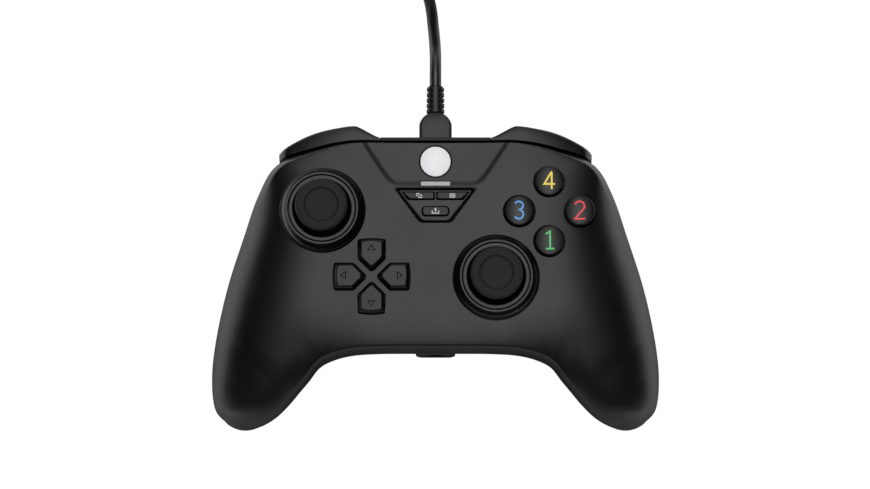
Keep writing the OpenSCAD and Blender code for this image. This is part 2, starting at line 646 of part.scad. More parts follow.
module right_stick_stem() color([0.09, 0.09, 0.1]) at_right_stick() stick_stem();
module left_stick_cap() color([0.07, 0.07, 0.07]) at_left_stick() stick_cap();
module right_stick_cap() color([0.07, 0.07, 0.07]) at_right_stick() stick_cap();

// One direction key: bevelled top with a small sunk arrow, and a skirt down to its pad
module dpad_key(turn) color([0.14, 0.14, 0.15]) translate([-dpad_x, -dpad_y, face_z]) rotate(turn) {
    bevel = 0.9;
    mark = dpad_reach - 2.6;
    difference() {
        hull() {
            translate([0, 0, -key_skirt]) linear_extrude(key_skirt + dpad_h - bevel)
                polygon(key_outline(key_gap));
            translate([0, 0, dpad_h - 0.1]) linear_extrude(0.1) polygon(key_outline(key_gap + bevel));
        }
        translate([0, 0, dpad_h - 0.25]) linear_extrude(1)
            polygon([[mark, 0], [mark - 1.8, 1.4], [mark - 1.8, -1.4]]);
    }
}
module dpad_right_key() dpad_key(0);
module dpad_up_key() dpad_key(90);
module dpad_left_key() dpad_key(180);
module dpad_down_key() dpad_key(270);

module face_button(turn) color([0.05, 0.05, 0.06])
    translate([diamond_x + diamond_r * cos(turn), diamond_y + diamond_r * sin(turn), face_z]) {
        intersection() {
            translate([0, 0, -key_skirt]) cylinder(r = face_button_r, h = key_skirt + face_button_h);
            translate([0, 0, face_button_h - button_crown_r]) sphere(r = button_crown_r);
        }
        // Two ears under the face keep the button in
        translate([-key_ear_w / 2, -face_button_r - key_flange, -key_skirt])
            cube([key_ear_w, 2 * (face_button_r + key_flange), key_ear_t]);
    }
module face_button_right() face_button(0);
module face_button_top() face_button(90);
module face_button_left() face_button(180);
module face_button_bottom() face_button(270);

module home_button() color([0.85, 0.85, 0.86]) translate([0, home_y, face_z]) {
    intersection() {
        translate([0, 0, -key_skirt]) cylinder(r = home_r, h = key_skirt + small_rise);
        translate([0, 0, small_rise - 22]) sphere(r = 22);
    }
    translate([-home_r - key_flange, -key_ear_w / 2, -key_skirt])
        cube([2 * (home_r + key_flange), key_ear_w, key_ear_t]);
}
module view_key(side) color([0.14, 0.14, 0.15]) translate([0, 0, face_z - key_skirt])
    linear_extrude(key_skirt + small_rise) polygon([for (p = view_outline(key_gap)) [side * p[0], p[1]]]);
module view_button() view_key(-1);
module menu_button() view_key(1);
module share_button() color([0.14, 0.14, 0.15]) translate([0, share_y, 0])
    rounded_bar(share_w - 2 * key_gap, share_h - 2 * key_gap, face_z - key_skirt, face_z + small_rise);

// Cross-section of a bumper: share of its depth, and height
function bumper_row(v) =
    let(last = len(bumper_ribs) - 1, rib = curve(bumper_ribs, v * last), edge = curve(bumper_edge, v * last),
        high = curve(bumper_high_z, v * last), way = rail_way(outer_rail, rib),
        root = flat2(curve(outer_rail, rib, true)) + [-way[1], way[0]] * bumper_gap, low = bumper_low_z)
    [for (p = [[0, low], [0, high - 0.5], [0.1, high], [0.4, high - 0.1], [0.66, high - 0.7],
        [0.86, high - 1.9], [0.97, high - 3.4], [1, high * 0.5 + low * 0.5], [0.94, low + 1.2],
        [0.78, low + 0.2], [0.6, low]]) [root[0] + (edge[0] - root[0]) * p[0],
            root[1] + (edge[1] - root[1]) * p[0], p[1]]];
// Bumper: a rounded wedge along the shoulder, with a flange to its hinge inside the housing
module right_bumper() color([0.11, 0.11, 0.12]) difference() {
    union() {
        loft([for (i = [0:bumper_steps]) bumper_row(i / bumper_steps)]);
        translate([bumper_hinge_x, bumper_hinge_y, bumper_hub_low]) {
            cylinder(r = bumper_hub_r, h = bumper_hub_h);
            translate([-bumper_flange_w / 2, 0, 0])
                cube([bumper_flange_w, top_y + bumper_gap + 0.9 - bumper_hinge_y, bumper_hub_h]);
        }
    }
    translate([bumper_hinge_x, bumper_hinge_y, bumper_hub_low - 1])
        cylinder(r = bumper_post_r + run_gap, h = bumper_hub_h + 2);
}
module left_bumper() on_left() right_bumper();

// Trigger: hooked finger lever; its profile follows the shoulder of the housing
trigger_profile = [[3.4, 1], [4.2, 0.85], [3.6, 0.64], [2.6, 0.44], [2.2, 0.27], [2.7, 0.12], [3.6, 0.03],
    [3, 0], [0.8, 0.06], [-1.8, 0.22], [-4, 0.42], [-5.2, 0.66], [-5.4, 0.9], [-4.6, 1]];
function shoulder_y(x) = top_y - 6.9 * pow(max(0, x - trigger_x0 + 1) / (trigger_w + 1), 1.6);
function trigger_row(v) =
    let(x = trigger_x0 + trigger_w * v, y = shoulder_y(x), pinch = 1 - 0.55 * pow(abs(2 * v - 1), 6),
        h = (trigger_top_z - trigger_tip_z) * (0.94 + 0.06 * pinch),
        middle = (trigger_top_z + trigger_tip_z) / 2)
    [for (p = trigger_profile) [x, y + p[0] * pinch, middle + h * (p[1] - 0.5)]];
spring_r = trigger_pin_r + spring_wire + 0.25;
ear_r = trigger_pin_r + ear_wall;
ear_arm = 1.6;
ear_x = [trigger_lugs[0] - ear_t - ear_gap, trigger_lugs[1] + trigger_lug_t + ear_gap];
module at_trigger_pin() {
    translate([trigger_x0, trigger_pin_y, trigger_pin_z]) children();
}
module trigger_lug(x) {
    reach = shoulder_y(trigger_x0 + x) - 3 - trigger_pin_y;
    rod_x(trigger_lug_r, x, x + trigger_lug_t);
    translate([x, 0, 0]) rotate([90, 0, 90]) linear_extrude(trigger_lug_t)
        polygon([[0, trigger_lug_r], [0, -trigger_lug_r], [reach, -2 * trigger_lug_r],
            [reach, trigger_top_z - 0.5 - trigger_pin_z]]);
}
// Lever with its lugs, and with room for the pin, the spring and the bracket's ears
module right_trigger() color([0.1, 0.1, 0.11]) difference() {
    union() {
        loft([for (i = [0:14]) trigger_row(0.5 - 0.5 * cos(180 * i / 14))]);
        at_trigger_pin() for (x = trigger_lugs) trigger_lug(x);
    }
    at_trigger_pin() {
        rod_x(trigger_pin_r + run_gap, ear_x[0] - 1, trigger_w + 1);
        rod_x(spring_r + spring_wire + 0.4, trigger_lugs[0] + trigger_lug_t, trigger_lugs[1]);
        for (x = ear_x) rod_x(ear_r + ear_room, x - ear_gap - 0.2, x + ear_t + ear_gap + 0.2);
    }
}
module left_trigger() on_left() right_trigger();

// Bracket that hangs under the board, carries a trigger's pin and closes the housing behind it
bracket_lift = 3.4;
bracket_low_z = belly_z + wall + bracket_lift;
bracket_w = ear_x[1] + ear_t + 1;
module right_trigger_bracket() color([0.2, 0.2, 0.21]) {
    translate([trigger_x0, trigger_slot_y - bracket_gap - bracket_t, bracket_low_z])
        cube([bracket_w, bracket_t, board_z - board_t - bracket_low_z]);
    at_trigger_pin() difference() {
        for (x = ear_x) {
            arm_y = trigger_slot_y - bracket_gap - bracket_t / 2 - trigger_pin_y;
            translate([x, arm_y, -ear_arm]) cube([ear_t, -arm_y, 2 * ear_arm]);
            rod_x(ear_r, x, x + ear_t);
        }
        rod_x(trigger_pin_r, ear_x[0] - 1, ear_x[1] + ear_t + 1);
    }
}
module left_trigger_bracket() on_left() right_trigger_bracket();
module trigger_pins() color([0.75, 0.76, 0.78]) both_sides() at_trigger_pin()
    rod_x(trigger_pin_r, ear_x[0] - 0.4, ear_x[1] + ear_t + 0.4);
// Return springs wound round the pins between the lugs
spring_x0 = trigger_x0 + trigger_lugs[0] + trigger_lug_t + 0.6;
spring_l = trigger_lugs[1] - trigger_lugs[0] - trigger_lug_t - 1.2;
spring_path = [for (i = [0:8 * spring_curls]) let(v = i / (8 * spring_curls), a = 45 * i)
    [spring_x0 + spring_l * v, trigger_pin_y + spring_r * cos(a), trigger_pin_z + spring_r * sin(a)]];
module trigger_springs() color([0.7, 0.71, 0.73]) both_sides()
    loft(tube_rows(spring_path, spring_wire, 6, [1, 0, 0]));

// Circuit board with room for the screw posts
board_side = [[24, top_y - 4], [44, top_y - 7.5], [52, 28], [53, 18], [48, 2], [40, crotch_y + 7],
    [14, crotch_y + 6]];
module main_board() color([0.05, 0.25, 0.12]) difference() {
    translate([0, 0, board_z - board_t]) linear_extrude(board_t) polygon(concat(board_side,
        [for (i = [len(board_side) - 1:-1:0]) [-board_side[i][0], board_side[i][1]]]));
    for (p = all_screws) translate([p[0], p[1], board_z - 9]) cylinder(r = boss_r + 0.4, h = 18);
}
// Small switches under the centre keys
module tact_switches() color([0.3, 0.3, 0.32])
    for (p = [[0, home_y], [-6, view_top_y - view_h / 2], [6, view_top_y - view_h / 2], [0, share_y]])
        translate([p[0], p[1], board_z]) {
            translate([-1.6, -1.3, 0]) cube([3.2, 2.6, 2]);
            cylinder(r = 0.9, h = switch_top - board_z);
        }
// Rubber pads with a dome under each key
module face_button_pad() color([0.5, 0.5, 0.48]) {
    translate([diamond_x, diamond_y, board_z]) difference() {
        cylinder(r = diamond_r + 2.4, h = 1);
        translate([0, 0, -1]) cylinder(r = 3, h = 4);
    }
    translate([0, 0, board_z]) face_button_places() cylinder(r1 = 4.4, r2 = 3.4, h = pad_top - board_z);
}
module dpad_pad() color([0.5, 0.5, 0.48]) {
    translate([-dpad_x, -dpad_y, board_z]) cylinder(r = dpad_reach - pad_margin, h = 1);
    translate([0, 0, board_z]) dpad_places() translate([8, 0, 0])
        cylinder(r1 = 3.6, r2 = 2.8, h = pad_top - board_z);
}

module headset_jack() color([0.08, 0.08, 0.09]) difference() {
    union() {
        translate([0, jack_face_y + 0.15, jack_z]) rod_y(jack_barrel_r, 0, 6);
        translate([-3.6, crotch_y + wall + 1.6, jack_z - 3.3])
            cube([7.2, 12, board_z - board_t - 0.15 - jack_z + 3.3]);
    }
    translate([0, jack_face_y - 1, jack_z]) rod_y(jack_r, 0, jack_l + 1.15);
}
module usb_port() color([0.72, 0.73, 0.75]) difference() {
    translate([-tongue_w / 2 - 0.5, top_y - 12, plug_z - port_half_t])
        cube([tongue_w + 1, 8.4, 2 * port_half_t]);
    translate([-tongue_w / 2 - run_gap, top_y - 10.5, plug_z - tongue_t / 2 - run_gap])
        cube([tongue_w + 2 * run_gap, 20, tongue_t + 2 * run_gap]);
}

// Vibration motors, each with an off-centre weight on its shaft
module right_rumble_motor() color([0.6, 0.61, 0.63]) translate([motor_x, motor_y, motor_z]) {
    rod_y(motor_r, -motor_l / 2, motor_l / 2);
    rod_y(motor_shaft_r, 0, motor_l / 2 + weight_l + 1.2);
    rod_y(2.4, 0, motor_l / 2 + 0.4);
}
module left_rumble_motor() on_left() right_rumble_motor();
module right_rumble_weight() color([0.45, 0.44, 0.42])
    translate([motor_x, motor_y + motor_l / 2 + 0.8, motor_z]) difference() {
        rod_y(weight_r, 0, weight_l);
        translate([-20, -1, 1.9]) cube([40, weight_l + 2, 20]);
        for (x = [-20, 4.2]) translate([x, -1, -1]) cube([15.8, weight_l + 2, 4]);
        rod_y(motor_shaft_r + run_gap, -1, weight_l + 1);
    }
module left_rumble_weight() on_left() right_rumble_weight();

module case_screws() color([0.3, 0.3, 0.32]) for (p = all_screws)
    translate([p[0], p[1], p[3] - screw_seat]) {
        translate([0, 0, -screw_head_h]) cylinder(r = screw_head_r, h = screw_head_h);
        translate([0, 0, -eps]) cylinder(r = screw_r, h = screw_seat + screw_grip);
    }

// Plug of the lead: rounded body whose end is domed, and a flat metal tongue
module cable_plug() color([0.12, 0.12, 0.13]) translate([0, 0, plug_z]) {
    intersection() {
        translate([-plug_w / 2, plug_y, -plug_t / 2]) cube([plug_w, plug_l, plug_t]);
        translate([0, plug_y + plug_l - plug_end_r, -plug_t]) {
            cylinder(r = plug_end_r, h = 2 * plug_t);
            translate([-plug_end_r, -plug_l, 0]) cube([2 * plug_end_r, plug_l, 2 * plug_t]);
        }
    }
    translate([-tongue_w / 2, top_y - 10, -tongue_t / 2]) cube([tongue_w, plug_y - top_y + 10.1, tongue_t]);
}
// Flexible relief: a slim spine crossed by ribs
relief_ribs = 5;
module cable_strain_relief() color([0.1, 0.1, 0.11]) translate([0, plug_end_y, plug_z]) {
    step = relief_l / relief_ribs;
    rod_y(lead_r + 0.35, 0, relief_l);
    for (i = [0:relief_ribs - 1]) translate([0, i * step, 0])
        rod_y(relief_w / 2 - 0.09 * i, 0, step * 0.62);
}

// The lead is one smooth tube through its route
lead_path = [for (v = [0:0.5:len(lead_route) - 1]) curve(lead_route, v)];
module cable_lead() color([0.06, 0.06, 0.06]) loft(tube_rows(lead_path, lead_r, 10));

// Coil: turns spiral in and out, layer on layer, and climb in the half turn where they reverse
layer_sweep = 360 * layer_turns;
climb_sweep = 180;
sweep_all = coil_layers * layer_sweep + (coil_layers - 1) * climb_sweep;
half_wave = layer_sweep + climb_sweep;
coil_out_r = coil_r + coil_pitch * climb_sweep / 720;
coil_in_r = coil_out_r - coil_pitch * half_wave / 360;
function coil_radius(a) =
    let(b = a + climb_sweep / 2, n = floor(b / half_wave), f = b - n * half_wave)
    coil_out_r - coil_pitch / 360 * (n % 2 == 0 ? f : half_wave - f);
function coil_layer(a) = let(n = floor(min(a, sweep_all - eps) / half_wave))
    n + (n < coil_layers - 1 ? smooth((a - n * half_wave - layer_sweep) / climb_sweep) : 0);
function coil_point(a) = [coil_x - coil_radius(a) * cos(a), coil_y + coil_radius(a) * sin(a),
    coil_z + coil_layer(a) * coil_pitch];
coil_path = [for (a = [0:360 / loop_steps:sweep_all]) coil_point(a)];
function least_gap(path, skip) = min([for (i = [0:len(path) - 1]) for (j = [i + skip:1:len(path) - 1])
    norm(path[i] - path[j])]) - lead_d;
// The tail bends in over the turns and lies on them, with the computer's plug at its end
tail_bend_r = 14;
tail_turn = 60;
plug2_t = 7.6;
plug2_w = 15;
plug2_l = 24;
tail_z = coil_z + (coil_layers - 1) * coil_pitch + lead_r + 0.3 + plug2_t / 2;
tail_start = coil_path[len(coil_path) - 1];
tail_base = sweep_all;
function tail_way(a) = [sin(a), cos(a), 0];
tail_centre = tail_start + tail_bend_r * [cos(tail_base), -sin(tail_base), 0];
function tail_bend(v) = let(a = tail_base + tail_turn * v, c = tail_centre)
    [c[0] - tail_bend_r * cos(a), c[1] + tail_bend_r * sin(a),
        tail_start[2] + (tail_z - tail_start[2]) * smooth(v)];
tail_end = tail_bend(1) + tail_way(tail_base + tail_turn) * lead_d * 1.5;
tail_path = [for (v = [0.125:0.125:1]) tail_bend(v)];
coil_start = [coil_x - coil_r, coil_y - lead_d, coil_z];
whole_coil = concat([coil_start], coil_path, tail_path, [tail_end]);
module cable_coil() color([0.06, 0.06, 0.06]) {
    loft(tube_rows(whole_coil, lead_r, 6));
    echo(least_coil_gap = least_gap(whole_coil, 5));
}
// Strap round one side of the coil; its inner leg clears the innermost turn over the strap's width
module cable_tie() color([0.1, 0.1, 0.11]) {
    near = sqrt(pow(coil_in_r - lead_r, 2) - pow(tie_w / 2, 2)) - tie_gap;
    inner_l = coil_out_r + lead_r + tie_gap - near;
    inner_h = (coil_layers - 1) * coil_pitch + lead_d + 2 * tie_gap;
    translate([coil_x, coil_y + near, 0]) difference() {
        translate([-tie_w / 2, -tie_t, 0]) cube([tie_w, inner_l + 2 * tie_t, inner_h + 2 * tie_t]);
        translate([-tie_w, 0, tie_t]) cube([2 * tie_w, inner_l, inner_h]);
    }
}
// Plug for the computer: grip and metal sleeve
module computer_plug() color([0.2, 0.2, 0.21]) translate(tail_end) rotate(-(tail_base + tail_turn)) {
    translate([-plug2_w / 2, 0, -plug2_t / 2]) cube([plug2_w, plug2_l, plug2_t]);
    difference() {
        translate([-6, plug2_l - eps, -2.25]) cube([12, 12, 4.5]);
        translate([-5.6, plug2_l + 2, -0.2]) cube([11.2, 12, 2]);
    }
}

front_shell();
rear_shell();
top_bridge();
centre_panel();
status_light_pipe();
left_stick_collar();
right_stick_collar();
left_stick_ring();
right_stick_ring();
left_stick_module();
right_stick_module();
left_stick_yoke();
right_stick_yoke();
left_stick_rocker();
right_stick_rocker();
left_stick_stem();
right_stick_stem();
left_stick_cap();
right_stick_cap();
dpad_up_key();
dpad_down_key();
dpad_left_key();
dpad_right_key();
face_button_top();
face_button_left();
face_button_right();
face_button_bottom();
home_button();
view_button();
menu_button();
share_button();
left_bumper();
right_bumper();
left_trigger();
right_trigger();
left_trigger_bracket();
right_trigger_bracket();
trigger_pins();
trigger_springs();
main_board();
tact_switches();
face_button_pad();
dpad_pad();
headset_jack();
usb_port();
left_rumble_motor();
right_rumble_motor();
left_rumble_weight();
right_rumble_weight();
case_screws();
cable_plug();
cable_strain_relief();
cable_lead();
cable_coil();
cable_tie();
computer_plug();
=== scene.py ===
# %% [markdown]
# # A wired gamepad controller
# This lesson dresses a packed construction model of a gamepad: two moulded half shells, thumb sticks
# in raised collars, keys, buttons, bumpers, triggers and a lead. The model is loaded first as a fixed
# frame. Every piece made here is in the frame's own place, rides on one of its bodies, and stands for
# one of its plain solids. Sizes are written in millimetres, because that is how such a product is drawn.

# %% Load the frame
import json
import math

import bmesh
import bpy
import numpy as np
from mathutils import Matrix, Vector


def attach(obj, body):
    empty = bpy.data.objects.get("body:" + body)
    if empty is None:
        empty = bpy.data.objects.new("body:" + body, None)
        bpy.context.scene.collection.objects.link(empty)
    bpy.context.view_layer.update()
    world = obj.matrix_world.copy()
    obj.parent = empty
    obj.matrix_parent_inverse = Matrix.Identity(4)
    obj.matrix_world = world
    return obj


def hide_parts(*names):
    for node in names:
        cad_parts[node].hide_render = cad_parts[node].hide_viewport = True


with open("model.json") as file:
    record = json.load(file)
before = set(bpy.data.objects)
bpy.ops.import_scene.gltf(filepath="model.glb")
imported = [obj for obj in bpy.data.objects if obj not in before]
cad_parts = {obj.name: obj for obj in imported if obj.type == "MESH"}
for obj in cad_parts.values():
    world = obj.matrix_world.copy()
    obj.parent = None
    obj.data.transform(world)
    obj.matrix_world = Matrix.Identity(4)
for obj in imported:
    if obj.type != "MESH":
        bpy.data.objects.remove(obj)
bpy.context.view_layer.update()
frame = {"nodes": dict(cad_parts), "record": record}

MM = 0.001
scene = bpy.context.scene
scene.view_settings.view_transform = "Standard"
BODY_OF = {}
for body, members in frame["record"]["behaviour"]["bodies"].items():
    for member in members:
        BODY_OF[member] = body

# %% [markdown]
# ## Camera
# The picture looks down on the face from the player's side with a long lens, so lines stay nearly
# parallel. The camera aims at a point on the face and leans back by a few degrees from the vertical.

# %% Camera
LEAN = math.radians(9.5)
AIM = Vector((-0.17, 9.0, 40.0)) * MM
AWAY = 1.3
FOCAL_LENGTH = 158.2
lens = bpy.data.cameras.new("camera")
lens.sensor_width = 36
lens.lens = FOCAL_LENGTH
lens.clip_start = 0.05
camera = bpy.data.objects.new("camera", lens)
camera.location = AIM + AWAY * Vector((0, -math.sin(LEAN), math.cos(LEAN)))
camera.rotation_euler = (LEAN, 0, 0)
scene.collection.objects.link(camera)
scene.camera = camera
print("camera at", [round(c, 3) for c in camera.location])

# %% [markdown]
# ## Mesh helpers
# Nearly all pieces are lofts: rows of points joined by quads, with a face over each end. A revolve is
# a loft of rings. Half shells and levers are then joined and cut by solids, as a mould is, and settle()
# turns the result into a plain mesh.

# %% Mesh helpers
def make_object(name, points, faces):
    mesh = bpy.data.meshes.new(name)
    mesh.from_pydata((np.asarray(points, float) * MM).tolist(), [], faces)
    obj = bpy.data.objects.new(name, mesh)
    scene.collection.objects.link(obj)
    return obj


def level(flat, z):
    """Points of a flat outline at one height."""
    return np.column_stack([flat, np.full(len(flat), z)])


def close_mesh(obj):
    """Merges doubled points and turns all faces outwards."""
    work = bmesh.new()
    work.from_mesh(obj.data)
    bmesh.ops.remove_doubles(work, verts=work.verts, dist=1e-7)
    bmesh.ops.recalc_face_normals(work, faces=work.faces)
    work.to_mesh(obj.data)
    work.free()
    return obj


def shade(obj, angle=35):
    """Smooth faces, with a crease where they meet at more than the angle."""
    mesh = obj.data
    mesh.polygons.foreach_set("use_smooth", np.ones(len(mesh.polygons), bool))
    mesh.set_sharp_from_angle(angle=math.radians(angle))
    return obj


def settle(obj):
    """Puts what the modifiers make in place of the mesh, and removes them."""
    depsgraph = bpy.context.evaluated_depsgraph_get()
    mesh = bpy.data.meshes.new_from_object(obj.evaluated_get(depsgraph))
    obj.modifiers.clear()
    obj.data = mesh
    return obj


def loft(name, rows, ring=False):
    """Closed skin over rows of points; a ring joins the last row to the first."""
    n = len(rows[0])
    last = len(rows)
    faces = []
    for i in range(last if ring else last - 1):
        k = (i + 1) % last
        for j in range(n):
            m = (j + 1) % n
            faces.append((i * n + j, i * n + m, k * n + m, k * n + j))
    if not ring:
        faces.append(tuple(range(n)))
        faces.append(tuple(range((last - 1) * n, last * n)))
    return close_mesh(make_object(name, np.concatenate(rows), faces))


def combine(obj, tools, operation):
    """Joins the tools to the object, or cuts them out of it."""
    for tool in tools:
        change = obj.modifiers.new("combine", "BOOLEAN")
        change.operation = operation
        change.solver = "MANIFOLD"
        change.object = tool
    settle(obj)
    for tool in tools:
        bpy.data.objects.remove(tool)
    return obj


def soften(points, radius, steps=5, closed=True):
    """The outline with its corners rounded."""
    p = np.asarray(points, float)
    out = []
    for i, b in enumerate(p):
        if not closed and i in (0, len(p) - 1):
            out.append(b)
            continue
        a = p[i - 1]
        c = p[(i + 1) % len(p)]
        r = min(radius, 0.45 * np.linalg.norm(a - b), 0.45 * np.linalg.norm(c - b))
        start = b + (a - b) / np.linalg.norm(a - b) * r
        end = b + (c - b) / np.linalg.norm(c - b) * r
        for v in np.linspace(0, 1, steps + 1):
            out.append((1 - v) ** 2 * start + 2 * v * (1 - v) * b + v * v * end)
    return np.array(out)


def revolve(name, profile, centre, closed=False, steps=128):
    """Turns a profile of radius and height round an upright axis."""
    turn = np.linspace(0, 2 * math.pi, steps, endpoint=False)
    r, z = np.asarray(profile, float).T[:, :, None]
    rings = np.stack([centre[0] + r * np.cos(turn), centre[1] + r * np.sin(turn),
                      centre[2] + z + 0 * turn], 2)
    if closed:
        return loft(name, rings.transpose(1, 0, 2), ring=True)
    return loft(name, rings)


def prism(name, outline, z0, z1):
    """An outline in the plane, drawn up from one height to another."""
    return loft(name, [level(outline, z) for z in (z0, z1)])


def block(name, low, high):
    outline = [(low[0], low[1]), (high[0], low[1]), (high[0], high[1]), (low[0], high[1])]
    return prism(name, outline, low[2], high[2])


def rod(name, radius, start, end, steps=48):
    """A round bar between two points."""
    start = Vector(start)
    way = Vector(end) - start
    side = way.orthogonal().normalized()
    up = way.cross(side).normalized()
    rows = []
    for base in (start, start + way):
        rows.append([base + radius * (math.cos(a) * side + math.sin(a) * up)
                     for a in np.linspace(0, 2 * math.pi, steps, endpoint=False)])
    return loft(name, rows)


def mirrored(obj, name):
    """A copy on the other side of the middle plane."""
    copy = bpy.data.objects.new(name, obj.data.copy())
    scene.collection.objects.link(copy)
    for vertex in copy.data.vertices:
        vertex.co.x = -vertex.co.x
    copy.data.flip_normals()
    return copy


def curve_through(points, t, over_middle=False):
    """Point t on the smooth curve through the points, which may run on over the middle plane."""
    p = np.asarray(points, float)
    if p.ndim == 1:
        p = p[:, None]
    i = min(int(t), len(p) - 2)
    f = t - i
    b = p[i]
    c = p[i + 1]
    if i > 0:
        a = p[i - 1]
    elif over_middle:
        a = c * np.array([-1, 1, 1])[:len(c)]
    else:
        a = 2 * b - c
    d = p[i + 2] if i + 2 < len(p) else 2 * c - b
    return 0.5 * (2 * b + (c - a) * f + (2 * a - 5 * b + 4 * c - d) * f ** 2
                  + (3 * b - a - 3 * c + d) * f ** 3)


def smooth(v):
    c = np.clip(v, 0, 1)
    return c * c * (3 - 2 * c)


# %% [markdown]
# ## Finishes
# The controller is nearly all black plastic, and what tells its pieces apart is gloss and grain. Two
# shader groups are shared: a fine moulded grain, which a mould's etched surface leaves, and slow
# smudges, where handling has polished the plastic a little. Each material has its own values of both.

# %% Shader groups
def new_group(name, inputs, outputs):
    group = bpy.data.node_groups.new(name, "ShaderNodeTree")
    for label, value in inputs:
        socket = group.interface.new_socket(name=label, in_out="INPUT", socket_type="NodeSocketFloat")
        socket.default_value = value
    for label in outputs:
        group.interface.new_socket(name=label, in_out="OUTPUT", socket_type="NodeSocketFloat")
    start = group.nodes.new("NodeGroupInput")
    end = group.nodes.new("NodeGroupOutput")
    return group, start, end


def math_node(tree, operation, *values):
    """A math node whose inputs are sockets or plain numbers."""
    node = tree.nodes.new("ShaderNodeMath")
    node.operation = operation
    for socket, value in zip(node.inputs, values):
        if isinstance(value, bpy.types.NodeSocket):
            tree.links.new(value, socket)
        else:
            socket.default_value = value
    return node.outputs[0]


def noise_in(group, start, detail):
    coords = group.nodes.new("ShaderNodeTexCoord")
    noise = group.nodes.new("ShaderNodeTexNoise")
    noise.inputs["Detail"].default_value = detail
    group.links.new(coords.outputs["Object"], noise.inputs["Vector"])
    group.links.new(start.outputs["Scale"], noise.inputs["Scale"])
    return noise.outputs["Fac"]


moulded_grain, start, end = new_group("moulded_grain", [("Scale", 4000.0)], ["Height"])
moulded_grain.links.new(noise_in(moulded_grain, start, 2.0), end.inputs["Height"])

handling, start, end = new_group(
    "handling", [("Scale", 60.0), ("Base Roughness", 0.5), ("Change", 0.08)], ["Roughness", "Tone"])
slow = noise_in(handling, start, 3.0)
spread = math_node(handling, "SUBTRACT", slow, 0.5)
gloss = math_node(handling, "MULTIPLY_ADD", spread, start.outputs["Change"],
                  start.outputs["Base Roughness"])
handling.links.new(gloss, end.inputs["Roughness"])
handling.links.new(slow, end.inputs["Tone"])
print("shader groups:", moulded_grain.name, handling.name)


# %% Finishes
DARKER = 0.9
LIGHTER = 1.18
SMUDGE = 60.0


def finish(name, colour, roughness, grain=4000.0, depth=0.006, change=0.1, metal=0.0, specular=0.5):
    """A material with grain, smudged gloss and a colour that varies between two near tones."""
    material = bpy.data.materials.new(name)
    material.use_nodes = True
    nodes = material.node_tree.nodes
    links = material.node_tree.links
    shader = nodes["Principled BSDF"]
    shader.inputs["Metallic"].default_value = metal
    shader.inputs["Specular IOR Level"].default_value = specular
    touch = nodes.new("ShaderNodeGroup")
    touch.node_tree = handling
    touch.inputs["Scale"].default_value = SMUDGE
    touch.inputs["Base Roughness"].default_value = roughness
    touch.inputs["Change"].default_value = change
    tone = nodes.new("ShaderNodeMix")
    tone.data_type = "RGBA"
    tone.inputs["A"].default_value = (*[c * DARKER for c in colour], 1)
    tone.inputs["B"].default_value = (*[c * LIGHTER for c in colour], 1)
    grains = nodes.new("ShaderNodeGroup")
    grains.node_tree = moulded_grain
    grains.inputs["Scale"].default_value = grain
    bump = nodes.new("ShaderNodeBump")
    bump.inputs["Distance"].default_value = depth * MM
    links.new(touch.outputs["Tone"], tone.inputs["Factor"])
    links.new(tone.outputs["Result"], shader.inputs["Base Color"])
    links.new(touch.outputs["Roughness"], shader.inputs["Roughness"])
    links.new(grains.outputs["Height"], bump.inputs["Height"])
    links.new(bump.outputs["Normal"], shader.inputs["Normal"])
    return material


def grey(v):
    return (v, v, v * 1.02)


SHELL = finish("shell_plastic", grey(0.0018), 0.35, grain=3200, depth=0.012)
REAR = finish("rear_plastic", grey(0.002), 0.38, grain=1800, depth=0.02)
TRIM = finish("trim_plastic", grey(0.0018), 0.34)
KEY = finish("key_plastic", grey(0.0018), 0.34, specular=0.46)
RING = finish("ring_plastic", grey(0.004), 0.3, depth=0.003)
COLLAR = finish("collar_plastic", grey(0.0015), 0.3, depth=0.004)
STEM = finish("stem_plastic", grey(0.0015), 0.3, depth=0.002, specular=0.25)
RUBBER = finish("cap_rubber", grey(0.008), 0.64, grain=2600, depth=0.02, specular=0.36)
GLOSS = finish("button_gloss", grey(0.0015), 0.12, depth=0.0, change=0.02, specular=0.38)
LENS = finish("lens_white", (0.85, 0.86, 0.88), 0.22, depth=0.002, change=0.06)
NYLON = finish("gimbal_nylon", (0.6, 0.6, 0.57), 0.5)
STEEL = finish("plated_steel", (0.6, 0.61, 0.63), 0.28, grain=1500, depth=0.004, metal=1.0)
IRON = finish("sintered_weight", (0.3, 0.29, 0.27), 0.55, grain=2500, depth=0.02, metal=1.0)
RESIN = finish("solder_mask", (0.012, 0.11, 0.05), 0.3, depth=0.002)
SWITCH = finish("switch_plastic", grey(0.05), 0.4)
PAD = finish("pad_silicone", (0.32, 0.32, 0.3), 0.6, depth=0.006)
CORD = finish("cord_rubber", grey(0.007), 0.3, grain=1800, depth=0.015, specular=0.8)
PLUG = finish("plug_plastic", grey(0.005), 0.36, depth=0.008)
BAR = finish("light_bar", (0.44, 0.44, 0.45), 0.4, depth=0.002, change=0.04)
MARK = finish("mark_print", (0.62, 0.62, 0.63), 0.4, depth=0.001)
INKS = {}
for place, hue, colour in (("top", "yellow", (0.95, 0.72, 0.06)), ("left", "blue", (0.08, 0.34, 0.78)),
                           ("right", "red", (0.85, 0.04, 0.06)), ("bottom", "green", (0.07, 0.55, 0.16))):
    INKS["face_button_" + place] = finish("ink_" + hue, colour, 0.3, depth=0.0)
print(len(bpy.data.materials), "materials")


def goes_with(obj, node, material):
    """The piece rides on the solid's body and leaves it shown."""
    obj.data.materials.clear()
    obj.data.materials.append(material)
    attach(obj, BODY_OF[node])


def stands_for(obj, node, material):
    """The piece rides where the solid does and takes its place."""
    goes_with(obj, node, material)
    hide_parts(node)


